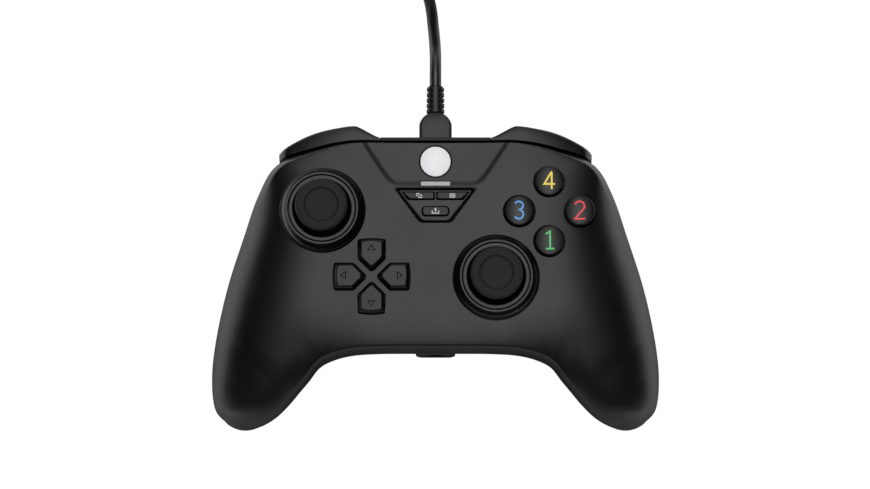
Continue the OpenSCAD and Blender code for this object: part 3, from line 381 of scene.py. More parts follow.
# %% [markdown]
# ## Studio
# Black plastic shows what it reflects. The sky is one soft light overhead that fades slowly towards its
# edges, so the flat face is an even grey and the shoulders and grips turn dark without a hard line. The
# white table shows again in their steep sides. There the table carries painted shade: its white is
# darkened close to the controller, where its shade would fall, and in a band in front of it, as wide as
# it, that nothing shades. A fill light that no gloss mirrors brings colours to about their written value,
# and a long low light behind draws a line along the top edges.

# %% Studio
TABLE_REACH = 9e3
TABLE_GREY = (0.85, 0.85, 0.85, 1)
TABLE_LEVEL = 1.25
EYE_LEVEL = 1.04
WHITE_SHARE = 0.95
# Painted shade on the table in gloss: how far and how strongly it darkens near the controller, and its
# level in front.
SHADE_REACH = 60 * MM
SHADE_POWER = 6.0
PAINTED_FRONT_SHADE = 0.42
FRONT_FADE = (-60 * MM, 10 * MM)
SIDE_FADE = (75 * MM, 105 * MM)


def ramp_node(tree, value, fade):
    """A soft change from the painted front shade to 1 while the value goes over the fade."""
    node = tree.nodes.new("ShaderNodeMapRange")
    node.interpolation_type = "SMOOTHSTEP"
    tree.links.new(value, node.inputs["Value"])
    for label, number in zip(("From Min", "From Max", "To Min", "To Max"), (*fade, PAINTED_FRONT_SHADE, 1.0)):
        node.inputs[label].default_value = number
    return node.outputs["Result"]


table_white = bpy.data.materials.new("table_white")
table_white.use_nodes = True
tree = table_white.node_tree
lit = tree.nodes["Principled BSDF"]
lit.inputs["Base Color"].default_value = TABLE_GREY
lit.inputs["Roughness"].default_value = 0.9
path = tree.nodes.new("ShaderNodeLightPath")
eye = path.outputs["Is Camera Ray"]
# Painted shade: in gloss the table's white is darkened by an occlusion test near the controller and dimmed
# in a band in front of it.
nearby = tree.nodes.new("ShaderNodeAmbientOcclusion")
nearby.samples = 8
nearby.inputs["Distance"].default_value = SHADE_REACH
open_share = math_node(tree, "POWER", nearby.outputs["AO"], SHADE_POWER)
coords = tree.nodes.new("ShaderNodeTexCoord")
spot = tree.nodes.new("ShaderNodeSeparateXYZ")
tree.links.new(coords.outputs["Object"], spot.inputs[0])
ahead = ramp_node(tree, spot.outputs["Y"], FRONT_FADE)
beside = ramp_node(tree, math_node(tree, "ABSOLUTE", spot.outputs["X"]), SIDE_FADE)
painted_front_dim = math_node(tree, "MAXIMUM", ahead, beside)
bright_share = math_node(tree, "MULTIPLY", open_share, TABLE_LEVEL)
bright_share = math_node(tree, "MULTIPLY", bright_share, painted_front_dim)
white_level = math_node(tree, "MAXIMUM", math_node(tree, "MULTIPLY", eye, EYE_LEVEL), bright_share)
in_gloss = math_node(tree, "MAXIMUM", path.outputs["Is Glossy Ray"], path.outputs["Is Transmission Ray"])
white_share = math_node(tree, "MULTIPLY", math_node(tree, "MAXIMUM", eye, in_gloss), WHITE_SHARE)
white = tree.nodes.new("ShaderNodeEmission")
mix = tree.nodes.new("ShaderNodeMixShader")
tree.links.new(white_level, white.inputs["Strength"])
tree.links.new(white_share, mix.inputs["Fac"])
tree.links.new(lit.outputs[0], mix.inputs[1])
tree.links.new(white.outputs[0], mix.inputs[2])
tree.links.new(mix.outputs[0], tree.nodes["Material Output"].inputs["Surface"])
corners = [(x * TABLE_REACH, y * TABLE_REACH, 0) for x, y in ((-1, -1), (1, -1), (1, 1), (-1, 1))]
table = make_object("table", corners, [(0, 1, 2, 3)])
table.data.materials.append(table_white)

SKY_LEVEL = 2.6
SKY_WIDTH = 0.33
SKY_DEPTH = 0.85
SKY_BACK = 0.1
SKY_FALL = 1.5
world = bpy.data.worlds.new("world")
world.use_nodes = True
scene.world = world
tree = world.node_tree
coords = tree.nodes.new("ShaderNodeTexCoord")
aim = tree.nodes.new("ShaderNodeSeparateXYZ")
path = tree.nodes.new("ShaderNodeLightPath")
tree.links.new(coords.outputs["Generated"], aim.inputs[0])
height = math_node(tree, "MAXIMUM", aim.outputs["Z"], 0.01)
sideways = math_node(tree, "DIVIDE", math_node(tree, "DIVIDE", aim.outputs["X"], height), SKY_WIDTH)
backward = math_node(tree, "SUBTRACT", math_node(tree, "DIVIDE", aim.outputs["Y"], height), SKY_BACK)
backward = math_node(tree, "DIVIDE", backward, SKY_DEPTH)
fade = math_node(tree, "MULTIPLY_ADD", sideways, sideways, 1.0)
fade = math_node(tree, "MULTIPLY_ADD", backward, backward, fade)
sky_level = math_node(tree, "DIVIDE", SKY_LEVEL, math_node(tree, "POWER", fade, SKY_FALL))
sky_level = math_node(tree, "MAXIMUM", sky_level, path.outputs["Is Camera Ray"])
tree.links.new(sky_level, tree.nodes["Background"].inputs["Strength"])
tree.nodes["Background"].inputs["Color"].default_value = (1, 1, 1, 1)

FILL_WATTS = 9
BACK_WATTS = 4.5


def area_lamp(name, shape, size, watts, place):
    lamp = bpy.data.lights.new(name, "AREA")
    lamp.shape = shape
    lamp.size = size
    lamp.energy = watts
    holder = bpy.data.objects.new(name, lamp)
    holder.location = place
    holder.visible_camera = False
    scene.collection.objects.link(holder)
    return holder


fill = area_lamp("fill", "DISK", 2.4, FILL_WATTS, (0, -0.1, 1.3))
fill.visible_glossy = False
back = area_lamp("back", "RECTANGLE", 3.2, BACK_WATTS, (0, 1.5, 0.75))
back.data.size_y = 0.8
back.rotation_euler = (math.radians(-63), 0, 0)
print("sky of level", SKY_LEVEL, "and a fill of", FILL_WATTS, "W")

# %% [markdown]
# ## Lead
# The lead is one flexible cord: straight out of its relief, down to the table, and then wound into a
# coil of four layers that lies just past the top of the picture. The coil spirals in and out again and
# climbs a layer in the half turn where it reverses, so it never cuts through itself. A curve with a
# round bevel follows the same points as the solid.

# %% Lead
FACE_Z = 40.0
TOP_Y = 44.5
CROTCH_Y = -26.5
GRIP_Y = -50.8
HALF_W = 77.2
LEAD_D = 4.0
PLUG_Z = 25.7
PLUG_Y = TOP_Y + 0.85
PLUG_L = 11.1
PLUG_END_Y = PLUG_Y + PLUG_L
RELIEF_END_Y = PLUG_END_Y + 9.6
COIL_Y = 150.0
COIL_Z = 3.3
COIL_R = 33.0
PITCH = 4.5
LAYERS = 4
LAYER_SWEEP = 1440.0
CLIMB_SWEEP = 180.0
HALF_WAVE = LAYER_SWEEP + CLIMB_SWEEP
SWEEP = LAYERS * LAYER_SWEEP + (LAYERS - 1) * CLIMB_SWEEP
COIL_OUT_R = COIL_R + PITCH * CLIMB_SWEEP / 720
lead_route = [
    (0, RELIEF_END_Y, PLUG_Z), (0, RELIEF_END_Y + 3, PLUG_Z), (0, RELIEF_END_Y + 6, PLUG_Z),
    (0, 77.5, 24), (-0.2, 83, 19.5), (-0.5, 88, 13.5), (-0.9, 93, 8), (-1.4, 98.5, 4.2),
    (-2.7, 104.3, 2.4), (-6.4, 110, 2.1), (-12.6, 115.6, 2.1), (-19.5, 121, 2.1),
    (-25.8, 126.6, 2.2), (-30.4, 132.4, 2.6), (0.3 - COIL_R, 137.4, 3),
    (-COIL_R, COIL_Y - LEAD_D - 4, COIL_Z), (-COIL_R, COIL_Y - LEAD_D, COIL_Z)]


def coil_point(angle):
    wave, part = divmod(angle + CLIMB_SWEEP / 2, HALF_WAVE)
    r = COIL_OUT_R - PITCH / 360 * (part if wave % 2 == 0 else HALF_WAVE - part)
    layer = math.floor(min(angle, SWEEP - 0.01) / HALF_WAVE)
    if layer < LAYERS - 1:
        layer += float(smooth((angle - layer * HALF_WAVE - LAYER_SWEEP) / CLIMB_SWEEP))
    a = math.radians(angle)
    return np.array([-r * math.cos(a), COIL_Y + r * math.sin(a), COIL_Z + layer * PITCH])


TAIL_BEND_R = 14.0
TAIL_TURN = 60.0
TAIL_Z = COIL_Z + (LAYERS - 1) * PITCH + LEAD_D / 2 + 0.3 + 3.8
tail_start = coil_point(SWEEP)
base = math.radians(SWEEP)
tail_centre = tail_start + TAIL_BEND_R * np.array([math.cos(base), -math.sin(base), 0])
lead_points = [curve_through(lead_route, v) for v in np.arange(0, len(lead_route) - 1, 0.2)]
lead_points += [coil_point(a) for a in np.arange(0, SWEEP, 7.5)]
for v in np.linspace(0, 1, 13):
    a = math.radians(SWEEP + TAIL_TURN * v)
    rise = (TAIL_Z - tail_start[2]) * float(smooth(v))
    turned_by = [-TAIL_BEND_R * math.cos(a), TAIL_BEND_R * math.sin(a), rise]
    lead_points.append(tail_centre + np.array(turned_by))
tail_angle = math.radians(SWEEP + TAIL_TURN)
tail_way = np.array([math.sin(tail_angle), math.cos(tail_angle), 0])
tail_end = lead_points[-1] + tail_way * LEAD_D * 1.5
lead_points.append(tail_end)
lead_points = np.array(lead_points)

lead_curve = bpy.data.curves.new("lead", "CURVE")
lead_curve.dimensions = "3D"
lead_curve.bevel_depth = LEAD_D / 2 * MM
lead_curve.bevel_resolution = 4
lead_curve.use_fill_caps = True
spline = lead_curve.splines.new("POLY")
spline.points.add(len(lead_points) - 1)
for place, p in zip(spline.points, lead_points):
    place.co = (*(p * MM), 1)
spline.use_smooth = True
lead = bpy.data.objects.new("lead", lead_curve)
scene.collection.objects.link(lead)
lead.data.materials.append(CORD)
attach(lead, "housing")
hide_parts("cable_lead", "cable_coil")

# %% [markdown]
# ## Half shells
# The housing is two moulded skins that meet at a seam. Both follow two rails, one over the shoulder and
# down the outside, one round the crotch between the grips. A row of points runs across from rail to
# rail at each station and rises to the face, or sinks to the belly, through an edge that is part broad
# round, part crisp corner and, along the shoulder, part bevel. The nearest point of the outer rail
# counts, so the round stays even where the outline turns. The inner skin is the same form, inset by the
# wall. Fine rows keep the long highlights free of facets.

# %% Shell skins
outer_rail = np.array([
    (0, TOP_Y, 35), (15, TOP_Y, 35), (29, TOP_Y, 34.6), (HALF_W - 35.2, TOP_Y - 2.3, 32.5),
    (HALF_W - 22.6, TOP_Y - 6.5, 28), (HALF_W - 15.9, 28.5, 22), (HALF_W - 10.7, 14.3, 18),
    (HALF_W - 5.6, -1.5, 16), (HALF_W - 1.9, -17.5, 14), (HALF_W - 0.05, GRIP_Y + 19, 12),
    (HALF_W - 1, GRIP_Y + 7.3, 10.5), (HALF_W - 5.3, GRIP_Y + 2, 9.5)])
inner_rail = np.array([
    (0, CROTCH_Y, 28), (11, CROTCH_Y, 28), (20, CROTCH_Y - 0.1, 27.8), (28, CROTCH_Y - 0.6, 27),
    (34.5, CROTCH_Y - 2, 25.5), (39.5, CROTCH_Y - 4.3, 23.5), (HALF_W - 34, CROTCH_Y - 8.6, 21),
    (HALF_W - 30.6, GRIP_Y + 12, 18.5), (HALF_W - 27.1, GRIP_Y + 8.2, 15.5),
    (HALF_W - 23, GRIP_Y + 4.4, 13), (HALF_W - 18.8, GRIP_Y + 1.8, 11),
    (HALF_W - 14.6, GRIP_Y + 0.16, 9.8)])
LAST_RIB = len(outer_rail) - 1
TIP_RIB = 9
WALL = 2.2
SEAM_GAP = 0.2
BELLY_Z = 9.0
EDGE_WIDTHS = {
    ("face", "outer"): ([0, 2, 3, 4, 5, 6, 7, 8, 9, 11], [20, 20, 22, 26, 28, 31, 33, 34, 30, 9]),
    ("face", "inner"): ([0, 3, 4, 5, 6, 8, 11], [20, 18, 14, 11, 10.5, 11, 8]),
    ("rear", "outer"): ([0, 3, 5, 9, 11], [10, 12, 16, 14, 8]),
    ("rear", "inner"): ([0, 3, 6, 9, 11], [8, 9, 13, 13, 8]),
}
CRISP_EDGE = {"inner": 1.2, "outer": 0.35}
BEVEL_WIDTH = ([0, 1.6, 2, 3, 4, 5], [0.2, 0.25, 0.4, 1.4, 2.5, 2.6])
BEVEL_SHARE = ([0, 1.6, 2, 3, 4, 5], [0.05, 0.07, 0.12, 0.36, 0.54, 0.7])
CRISP_SHARE = {
    ("face", "outer"): ([0, 2, 2.6, 3.2, 3.8, 4.4, 5, 5.6], [1, 1, 0.9, 0.8, 0.68, 0.45, 0.18, 0]),
    ("face", "inner"): ([0, 4, 6, 9, 11], [0.7, 0.66, 0.56, 0.45, 0.1]),
    ("rear", "outer"): ([0, 11], [0, 0]),
    ("rear", "inner"): ([0, 11], [0, 0]),
}


def face_height(x, y):
    sink = np.maximum(0, -4 - y) / (-4 - GRIP_Y)
    return FACE_Z - 22 * sink ** 2 * smooth((np.abs(x) - 22) / 28)


def belly_height(x, y):
    hump = smooth((34 - np.abs(x)) / 10) * smooth((y + 12) / 14)
    middle = BELLY_Z * (1 - hump)
    grip = np.minimum(BELLY_Z, 0.006 * (y - GRIP_Y - 13) ** 2)
    return middle + (grip - middle) * smooth((np.abs(x) - 30) / 18)


def rail_way(rail, t):
    ahead = curve_through(rail, min(LAST_RIB, t + 0.05), True)
    behind = curve_through(rail, max(0, t - 0.05), True)
    way = (ahead - behind)[:2]
    return way / np.linalg.norm(way)


def round_off(distance, width):
    return np.where(distance >= width, 1, np.sqrt(np.maximum(0, 1 - (1 - distance / width) ** 2)))


RAIL_STEPS = np.linspace(0, LAST_RIB, 1761)
rail_line = np.array([curve_through(outer_rail, t, True)[:2] for t in RAIL_STEPS])
line_widths = np.interp(RAIL_STEPS, *EDGE_WIDTHS["face", "outer"])
line_shares = np.interp(RAIL_STEPS, *CRISP_SHARE["face", "outer"])


def ramp(u):
    """A straight rise to 1 with a rounded end."""
    return np.where(u < 0.9, u, 1 - 2.5 * np.maximum(0, 1.1 - u) ** 2)


def edge_rise(distance, t, width, share, inset, side):
    """How far a skin has risen at a distance from its edge: part broad round, part crisp corner."""
    broad = round_off(distance, np.maximum(0.3, width - inset))
    crisp = round_off(distance, max(0.3, CRISP_EDGE[side] - inset))
    if side == "outer":
        bevel = ramp(distance / np.maximum(0.3, np.interp(t, *BEVEL_WIDTH) - inset))
        part = np.interp(t, *BEVEL_SHARE)
        crisp = (1 - part) * crisp + part * bevel
    return (1 - share) * broad + share * crisp


def skin_row(t, s, inset, half):
    """Points from the inner to the outer rail at rib t of one half, inset into the wall."""
    end = LAST_RIB - inset * 0.15
    r = t * end / LAST_RIB
    outer = curve_through(outer_rail, r, True)
    inner = curve_through(inner_rail, r, True)
    span = np.linalg.norm((outer - inner)[:2])
    way = (outer - inner)[:2] / span
    a = inset + s * (span - 2 * inset)
    k = a / span
    p = inner + (outer - inner) * k[:, None]
    bulge = 1.2 * smooth((r - TIP_RIB) / 2) * 4 * k * (1 - k)
    x = p[:, 0] + way[1] * bulge
    y = p[:, 1] - way[0] * bulge
    rise = {}
    for name, rail, distance in (("inner", inner_rail, a - inset),
                                 ("outer", outer_rail, span - a - inset)):
        along = rail_way(rail, r)
        square = distance * abs(way[0] * along[1] - way[1] * along[0])
        width = np.interp(r, *EDGE_WIDTHS[half, name])
        rise[name] = edge_rise(square, r, width, np.interp(r, *CRISP_SHARE[half, name]), inset, name)
    if half == "face":
        reach = np.hypot(x[:, None] - rail_line[:, 0], y[:, None] - rail_line[:, 1]) - inset
        nearest = edge_rise(reach, RAIL_STEPS, line_widths, line_shares, inset, "outer").min(axis=1)
        rise["outer"] = np.minimum(rise["outer"], nearest)
    lift = rise["inner"] * rise["outer"]
    if r > TIP_RIB:
        lift = lift * math.sqrt(max(0, 1 - ((r - TIP_RIB) / (end - TIP_RIB)) ** 2))
    seam = p[:, 2] - (SEAM_GAP if half == "rear" else 0)
    far = face_height(x, y) - inset if half == "face" else belly_height(x, y) + inset
    return np.stack([x, y, seam + (far - seam) * lift], 1)


def skin(inset, half):
    across = 0.5 - 0.5 * np.cos(np.linspace(0, math.pi, 81))
    tip = (LAST_RIB - TIP_RIB) * np.sin(np.linspace(0, math.pi / 2, 21)[1:])
    ribs = np.concatenate([np.linspace(0, TIP_RIB, 73), TIP_RIB + tip])
    right = [skin_row(t, across, inset, half) for t in ribs]
    left = [row * np.array([-1, 1, 1]) for row in right[:0:-1]]
    return np.array(left + right)


def strip(first, second):
    """Quads between two rows of point numbers."""
    return list(zip(first[:-1], first[1:], second[1:], second[:-1]))


def half_shell(name, half):
    skins = np.array([skin(0, half), skin(WALL, half)])
    rows, cols = skins.shape[1:3]
    index = np.arange(2 * rows * cols).reshape(2, rows, cols)
    faces = []
    for layer in index:
        for i in range(rows - 1):
            faces += strip(layer[i], layer[i + 1])
    for j in (0, cols - 1):
        faces += strip(index[0, :, j], index[1, :, j])
    for i in (0, rows - 1):
        faces += strip(index[0, i], index[1, i])
    return close_mesh(make_object(name, skins.reshape(-1, 3), faces))


front_shell = half_shell("front_shell_skin", "face")
rear_shell = half_shell("rear_shell_skin", "rear")
print("half shells:", len(front_shell.data.polygons), "and", len(rear_shell.data.polygons), "faces")

# %% [markdown]
# ## Openings in the face
# Each opening is cut with a solid of the right outline that flares a little at the surface, so its rim
# is broken as on a moulding. The sunken line that runs down from the top edge and across the middle is
# cut by a sweep with a shallow section like a wide V.

# %% Openings in the face
STICKS = {"left": (-38.6, 20.9), "right": (20.6, -2.4)}
COLLAR_R = 14.5
DIAMOND = (38.8, 20.5)
DIAMOND_R = 10.3
BUTTON_R = 5.1
BUTTON_H = 2.5
CROWN_R = 20.0
DPAD = (-21.7, -2.05)
DPAD_REACH = 13.1
DPAD_HALF_W = 4.65
DPAD_H = 2.9
KEY_GAP = 0.35
KEY_SKIRT = 5.0
HOME = (0.0, 37.7)
HOME_R = 5.15
STATUS_Y = 30.1
LIGHT_W = 10.1
LIGHT_H = 1.5
SEAT_GAP = 0.15
SMALL_RISE = 0.8
FLARE = 0.2
PANEL_FLARE = 0.45
LIGHT_FLARE = 0.1
ROUND_CUT_DEPTH = 12
CUT_DEPTH = 9
CUT_RISE = 9
BUTTONS = {"face_button_right": 0, "face_button_top": 90, "face_button_left": 180,
           "face_button_bottom": 270}
DPAD_KEYS = {"dpad_right_key": 0, "dpad_up_key": 90, "dpad_left_key": 180, "dpad_down_key": 270}


def button_place(turn):
    a = math.radians(turn)
    return DIAMOND[0] + DIAMOND_R * math.cos(a), DIAMOND[1] + DIAMOND_R * math.sin(a)


def round_cut(radius, place):
    wide = radius + FLARE
    profile = [(0, -ROUND_CUT_DEPTH), (radius, -ROUND_CUT_DEPTH), (radius, -FLARE), (wide, 0),
               (wide, CUT_RISE), (0, CUT_RISE)]
    return revolve("cut", profile, (*place, FACE_Z), steps=96)


def stacked(name, outline_at, levels):
    """A loft of outlines, each given by its inset and its height over the face."""
    return loft(name, [level(outline_at(inset), FACE_Z + z) for inset, z in levels])


def flared_cut(outline_at, flare=FLARE):
    """A cut whose outline comes from a function of its inset."""
    return stacked("cut", outline_at, [(0, -CUT_DEPTH), (0, -flare), (-flare, 0), (-flare, CUT_RISE)])


def key_outline(inset):
    """Outline of the direction key on the right, about the middle of the four."""
    w = DPAD_HALF_W - inset
    tip = 2 + inset * 1.3
    shoulder = tip + w - 0.5
    edge = DPAD_REACH - 0.5 - inset
    outer = [(edge + 0.5 * (1 - v * v), v * w) for v in np.linspace(-1, 1, 9)]
    return soften([(shoulder, -w), *outer, (shoulder, w), (tip + 0.1, 0.6), (tip + 0.1, -0.6)], 0.5)


def turned(flat, turn, place):
    a = math.radians(turn)
    flat = np.asarray(flat)
    return np.column_stack([place[0] + flat[:, 0] * math.cos(a) - flat[:, 1] * math.sin(a),
                            place[1] + flat[:, 0] * math.sin(a) + flat[:, 1] * math.cos(a)])


def panel_outline(inset):
    return soften([(-13.6 + inset * 1.8, 28.3 - inset), (-5.1 + inset, 16.9 + inset),
                   (5.1 - inset, 16.9 + inset), (13.6 - inset * 1.8, 28.3 - inset)], 1.2)


PANEL_SLOPE = 0.7456
VIEW_X = (0.15, 11.7)
VIEW_Y = (24.35, 27.35)


def view_outline(inset, side):
    near = VIEW_X[0] + inset
    out = VIEW_X[1] - inset * 1.5
    foot = out - PANEL_SLOPE * (VIEW_Y[1] - VIEW_Y[0])
    low = VIEW_Y[0] + inset
    high = VIEW_Y[1] - inset
    return soften([(near, high), (near, low), (foot, low), (out, high)], 0.5) * np.array([side, 1])


def bar_outline(width, height, place, corner):
    x = width / 2
    y = height / 2
    return soften([(-x, -y), (x, -y), (x, y), (-x, y)], corner, steps=8) + np.array(place)


def light_outline(inset):
    room = 2 * (SEAT_GAP - inset)
    return bar_outline(LIGHT_W + room, LIGHT_H + room, (0, STATUS_Y), 0.4)


groove_side = [(25.6, TOP_Y + 1.4), (24.2, TOP_Y - 0.6), (19.8, 37.2), (17, 33.1), (15, 31.1), (12.6, 30.2),
               (LIGHT_W / 2 - 1, 30.2)]
valley = [(0, -0.28), (0.45, -0.12), (0.9, 0), (1.1, 0.05), (1.3, 2)]
groove_section = [(-w, z) for w, z in valley[:0:-1]] + valley
GROOVE_STEPS = 48


def groove_cut(side):
    ends = np.linspace(0, len(groove_side) - 1, GROOVE_STEPS + 1)
    path = np.array([curve_through(groove_side, v) for v in ends])
    rows = []
    for i, p in enumerate(path):
        way = path[min(i + 1, GROOVE_STEPS)] - path[max(i - 1, 0)]
        way = way / np.linalg.norm(way)
        rows.append([(side * (p[0] - way[1] * w), p[1] + way[0] * w, FACE_Z + z)
                     for w, z in groove_section])
    return loft("cut", rows)


face_cuts = [round_cut(COLLAR_R + SEAT_GAP, place) for place in STICKS.values()]
face_cuts += [round_cut(BUTTON_R + KEY_GAP, button_place(turn)) for turn in BUTTONS.values()]
face_cuts += [flared_cut(lambda inset, turn=turn: turned(key_outline(inset), turn, DPAD))
              for turn in DPAD_KEYS.values()]
face_cuts += [round_cut(HOME_R + KEY_GAP, HOME), flared_cut(panel_outline, PANEL_FLARE),
              flared_cut(light_outline, LIGHT_FLARE), groove_cut(1), groove_cut(-1)]
# Each screw has its place, the foot of its post, where the halves meet on it, and the top of its boss.
SCREWS = [(HALF_W - 17.2, GRIP_Y + 15, 1.2, 14, FACE_Z - 14),
          (36, CROTCH_Y + 12.5, BELLY_Z - 0.4, 18, FACE_Z - 1.6), (0, 9, 1, 18, FACE_Z - 1.6)]
SCREWS += [(-x, y, low, joint, high) for x, y, low, joint, high in SCREWS[:2]]
BOSS_R = 3.2
PILOT_R = 1.5
HINGE_X = 22
HINGE_Y = TOP_Y - 5
HINGE_R = 1.1
bosses = []
pilots = []
for x, y, low, joint, high in SCREWS:
    bosses.append(rod("boss", BOSS_R, (x, y, joint + SEAM_GAP), (x, y, high)))
    pilots.append(rod("pilot", PILOT_R, (x, y, joint - 1), (x, y, joint + 8)))
hinge_posts = [rod("post", HINGE_R, (x, HINGE_Y, 30.8), (x, HINGE_Y, 38.9)) for x in (-HINGE_X, HINGE_X)]
combine(front_shell, bosses + hinge_posts, "UNION")
combine(front_shell, face_cuts + pilots, "DIFFERENCE")
shade(front_shell)
stands_for(front_shell, "front_shell", SHELL)
print("front shell:", len(front_shell.data.polygons), "faces after", len(face_cuts), "cuts")

# %% [markdown]
# ## Rear shell
# The rear half has posts for the screws, cradles for the motors, a small nose round the headset socket,
# and openings for the triggers, the plug and the bumpers' flanges.

# %% Rear shell
JACK_Z = 22.5
JACK_FACE_Y = CROTCH_Y - 0.4
TRIGGER_X0 = HALF_W - 48.8
TRIGGER_X1 = HALF_W - 25
TRIGGER_SLOT_Y = TOP_Y - 13.5
MOTOR = (HALF_W - 19.7, GRIP_Y + 34, 19)
MOTOR_ROOM_R = 7.65
POST_R = 4.6
SCREW_HOLE_R = 1.6
SCREW_HEAD_R = 3.0
SCREW_LAND = 4
SOCKET_R = 3.0
nose_outline = soften([(-5.2, JACK_FACE_Y), (5.2, JACK_FACE_Y), (6.8, CROTCH_Y + 0.1),
                       (6.8, CROTCH_Y + 1.2), (-6.8, CROTCH_Y + 1.2), (-6.8, CROTCH_Y + 0.1)], 0.5)
posts = [rod("post", POST_R, (x, y, low), (x, y, joint)) for x, y, low, joint, high in SCREWS]
posts.append(prism("nose", nose_outline, JACK_Z - 4, JACK_Z + 4))
for x in (-MOTOR[0], MOTOR[0]):
    for offset, foot in ((3, 4.9), (-6, 3)):
        y = MOTOR[1] + offset
        cradle = block("cradle", (x - 6, y - 1, foot), (x + 6, y + 1, 16))
        bed = rod("bed", MOTOR_ROOM_R, (x, y - 2, MOTOR[2]), (x, y + 2, MOTOR[2]))
        posts.append(combine(cradle, [bed], "DIFFERENCE"))


def port_cut():
    return block("port", (-5.9, TRIGGER_SLOT_Y, PLUG_Z - 4.1), (5.9, PLUG_END_Y, PLUG_Z + 4.1))


combine(rear_shell, posts, "UNION")
rear_cuts = []
for x, y, low, joint, high in SCREWS:
    rear_cuts.append(rod("hole", SCREW_HOLE_R, (x, y, -2), (x, y, 40)))
    rear_cuts.append(rod("recess", SCREW_HEAD_R, (x, y, -2), (x, y, joint - SCREW_LAND)))
for side in (-1, 1):
    x0, x1 = sorted((side * (TRIGGER_X0 - 0.8), side * (TRIGGER_X1 + 0.8)))
    x = side * HINGE_X
    rear_cuts.append(block("window", (x0, TRIGGER_SLOT_Y, -9), (x1, TOP_Y + 30, 27.2)))
    rear_cuts.append(block("slot", (x - 2.6, TOP_Y - 4.4, 30.2), (x + 2.6, TOP_Y + 4.4, 42.2)))
rear_cuts.append(rod("home_room", HOME_R + KEY_GAP, (*HOME, FACE_Z - KEY_SKIRT - 1), (*HOME, FACE_Z)))
rear_cuts.append(rod("socket", SOCKET_R, (0, JACK_FACE_Y - 1, JACK_Z), (0, JACK_FACE_Y + 7, JACK_Z)))
rear_cuts.append(port_cut())
combine(rear_shell, rear_cuts, "DIFFERENCE")
shade(rear_shell)
stands_for(rear_shell, "rear_shell", REAR)
print("rear shell:", len(rear_shell.data.polygons), "faces")

# %% [markdown]
# ## Stick collars, rings and caps
# A collar flares out to the face in a hollow curve and carries a bright edge at its top. A slippery ring
# sits inside it behind a narrow dark line, and the stick's neck runs against that ring. The soft thumb
# cap has a round rim and a shallow dish with a step. All are revolves of a softened profile.

# %% Stick collars, rings and caps
collar_profile = np.concatenate([
    soften([(10.6, 2.9), (11.6, 2.9), (11.6, 4.4), (12.45, 4.4), (12.62, 3.7)], 0.22, closed=False),
    [(12.78, 3.0), (12.98, 2.3), (13.25, 1.6), (13.6, 1.0), (13.98, 0.58), (14.25, 0.42), (14.42, 0.3),
     (14.5, 0.1), (14.5, -7), (12.9, -7), (12.9, -0.5), (10.6, 2.1)]])
ring_profile = soften([(9.7, 3.0), (11.3, 3.0), (11.3, 4.4), (10.05, 4.4), (9.7, 4.1)], 0.22)
rim_turn = np.radians(np.linspace(-60, 84, 15))
cap_rim = [(7.8 + 1.1 * math.cos(a), 10.5 + 1.1 * math.sin(a)) for a in rim_turn]
cap_foot = soften([(3.65, 8.6), (4.5, 8.6), (7.5, 9.35), cap_rim[0]], 0.4, closed=False)
cap_dish = soften([(7.6, 11.66), (6.3, 11.88), (5.95, 11.85), (5.45, 11.38), (4.6, 11.22), (2.2, 10.98),
                   (0, 10.9)], 0.25, closed=False)
cap_profile = np.concatenate([[(0, 8.6), (3.65, 8.6)], cap_foot[1:-1], cap_rim, cap_dish])
for side, place in STICKS.items():
    centre = (*place, FACE_Z)
    collar = shade(revolve(side + "_collar", collar_profile, centre, closed=True, steps=160))
    stands_for(collar, side + "_stick_collar", COLLAR)
    ring = shade(revolve(side + "_ring", ring_profile, centre, closed=True, steps=160))
    stands_for(ring, side + "_stick_ring", RING)
    cap = shade(revolve(side + "_cap", cap_profile, centre, steps=160))
    stands_for(cap, side + "_stick_cap", RUBBER)
print("collars, rings and caps at", list(STICKS.values()))

# %% [markdown]
# ## Direction keys
# Four separate keys press down round a plain middle. Their tops are bevelled, and each has a small sunk
# arrow. A stack of outlines, each a little further in, makes the bevel.

# %% Direction keys
key_steps = [(KEY_GAP, -KEY_SKIRT), (KEY_GAP, 1.75), (KEY_GAP + 0.06, 1.98), (KEY_GAP + 0.2, 2.2),
             (KEY_GAP + 0.62, 2.66), (KEY_GAP + 0.78, 2.82), (KEY_GAP + 0.98, 2.89), (KEY_GAP + 1.15, 2.9)]
ARROW = DPAD_REACH - 2.6
ARROW_LEVELS = ((-0.22, -0.32), (0.1, 0), (0.5, 0.5))
for node, turn in DPAD_KEYS.items():
    key = stacked(node + "_dress", lambda inset: turned(key_outline(inset), turn, DPAD), key_steps)
    arrow_rows = []
    for grow, z in ARROW_LEVELS:
        back_x = ARROW - 1.8 - grow
        half = 1.4 + 1.5 * grow
        flat = turned([(ARROW + 1.6 * grow, 0), (back_x, half), (back_x, -half)], turn, DPAD)
        arrow_rows.append(level(flat, FACE_Z + DPAD_H + z))
    combine(key, [loft("arrow", arrow_rows)], "DIFFERENCE")
    shade(key, 30)
    stands_for(key, node, KEY)
print("direction keys:", list(DPAD_KEYS))

# %% [markdown]
# ## Face buttons and home button
# Each face button is a dark glossy dome that mirrors the soft light sharply. A plain numeral of thin
# even strokes is laid on the dome. The home button is a plain pale lens.

# %% Face buttons and home button
def crown_profile(radius, rise, crown, corner):
    def height(r):
        return rise - crown + math.sqrt(crown ** 2 - r ** 2)
    top = [(r, height(r)) for r in np.linspace(radius - corner, 0, 20)]
    edge = soften([(radius, -KEY_SKIRT), (radius, height(radius) - 0.02), top[0]], corner, steps=8,
                  closed=False)
    return np.concatenate([[(0, -KEY_SKIRT)], edge, top[1:]])


def arc(centre, radius, start, stop):
    return [(centre[0] + radius * math.cos(a), centre[1] + radius * math.sin(a))
            for a in np.radians(np.linspace(start, stop, 17))]


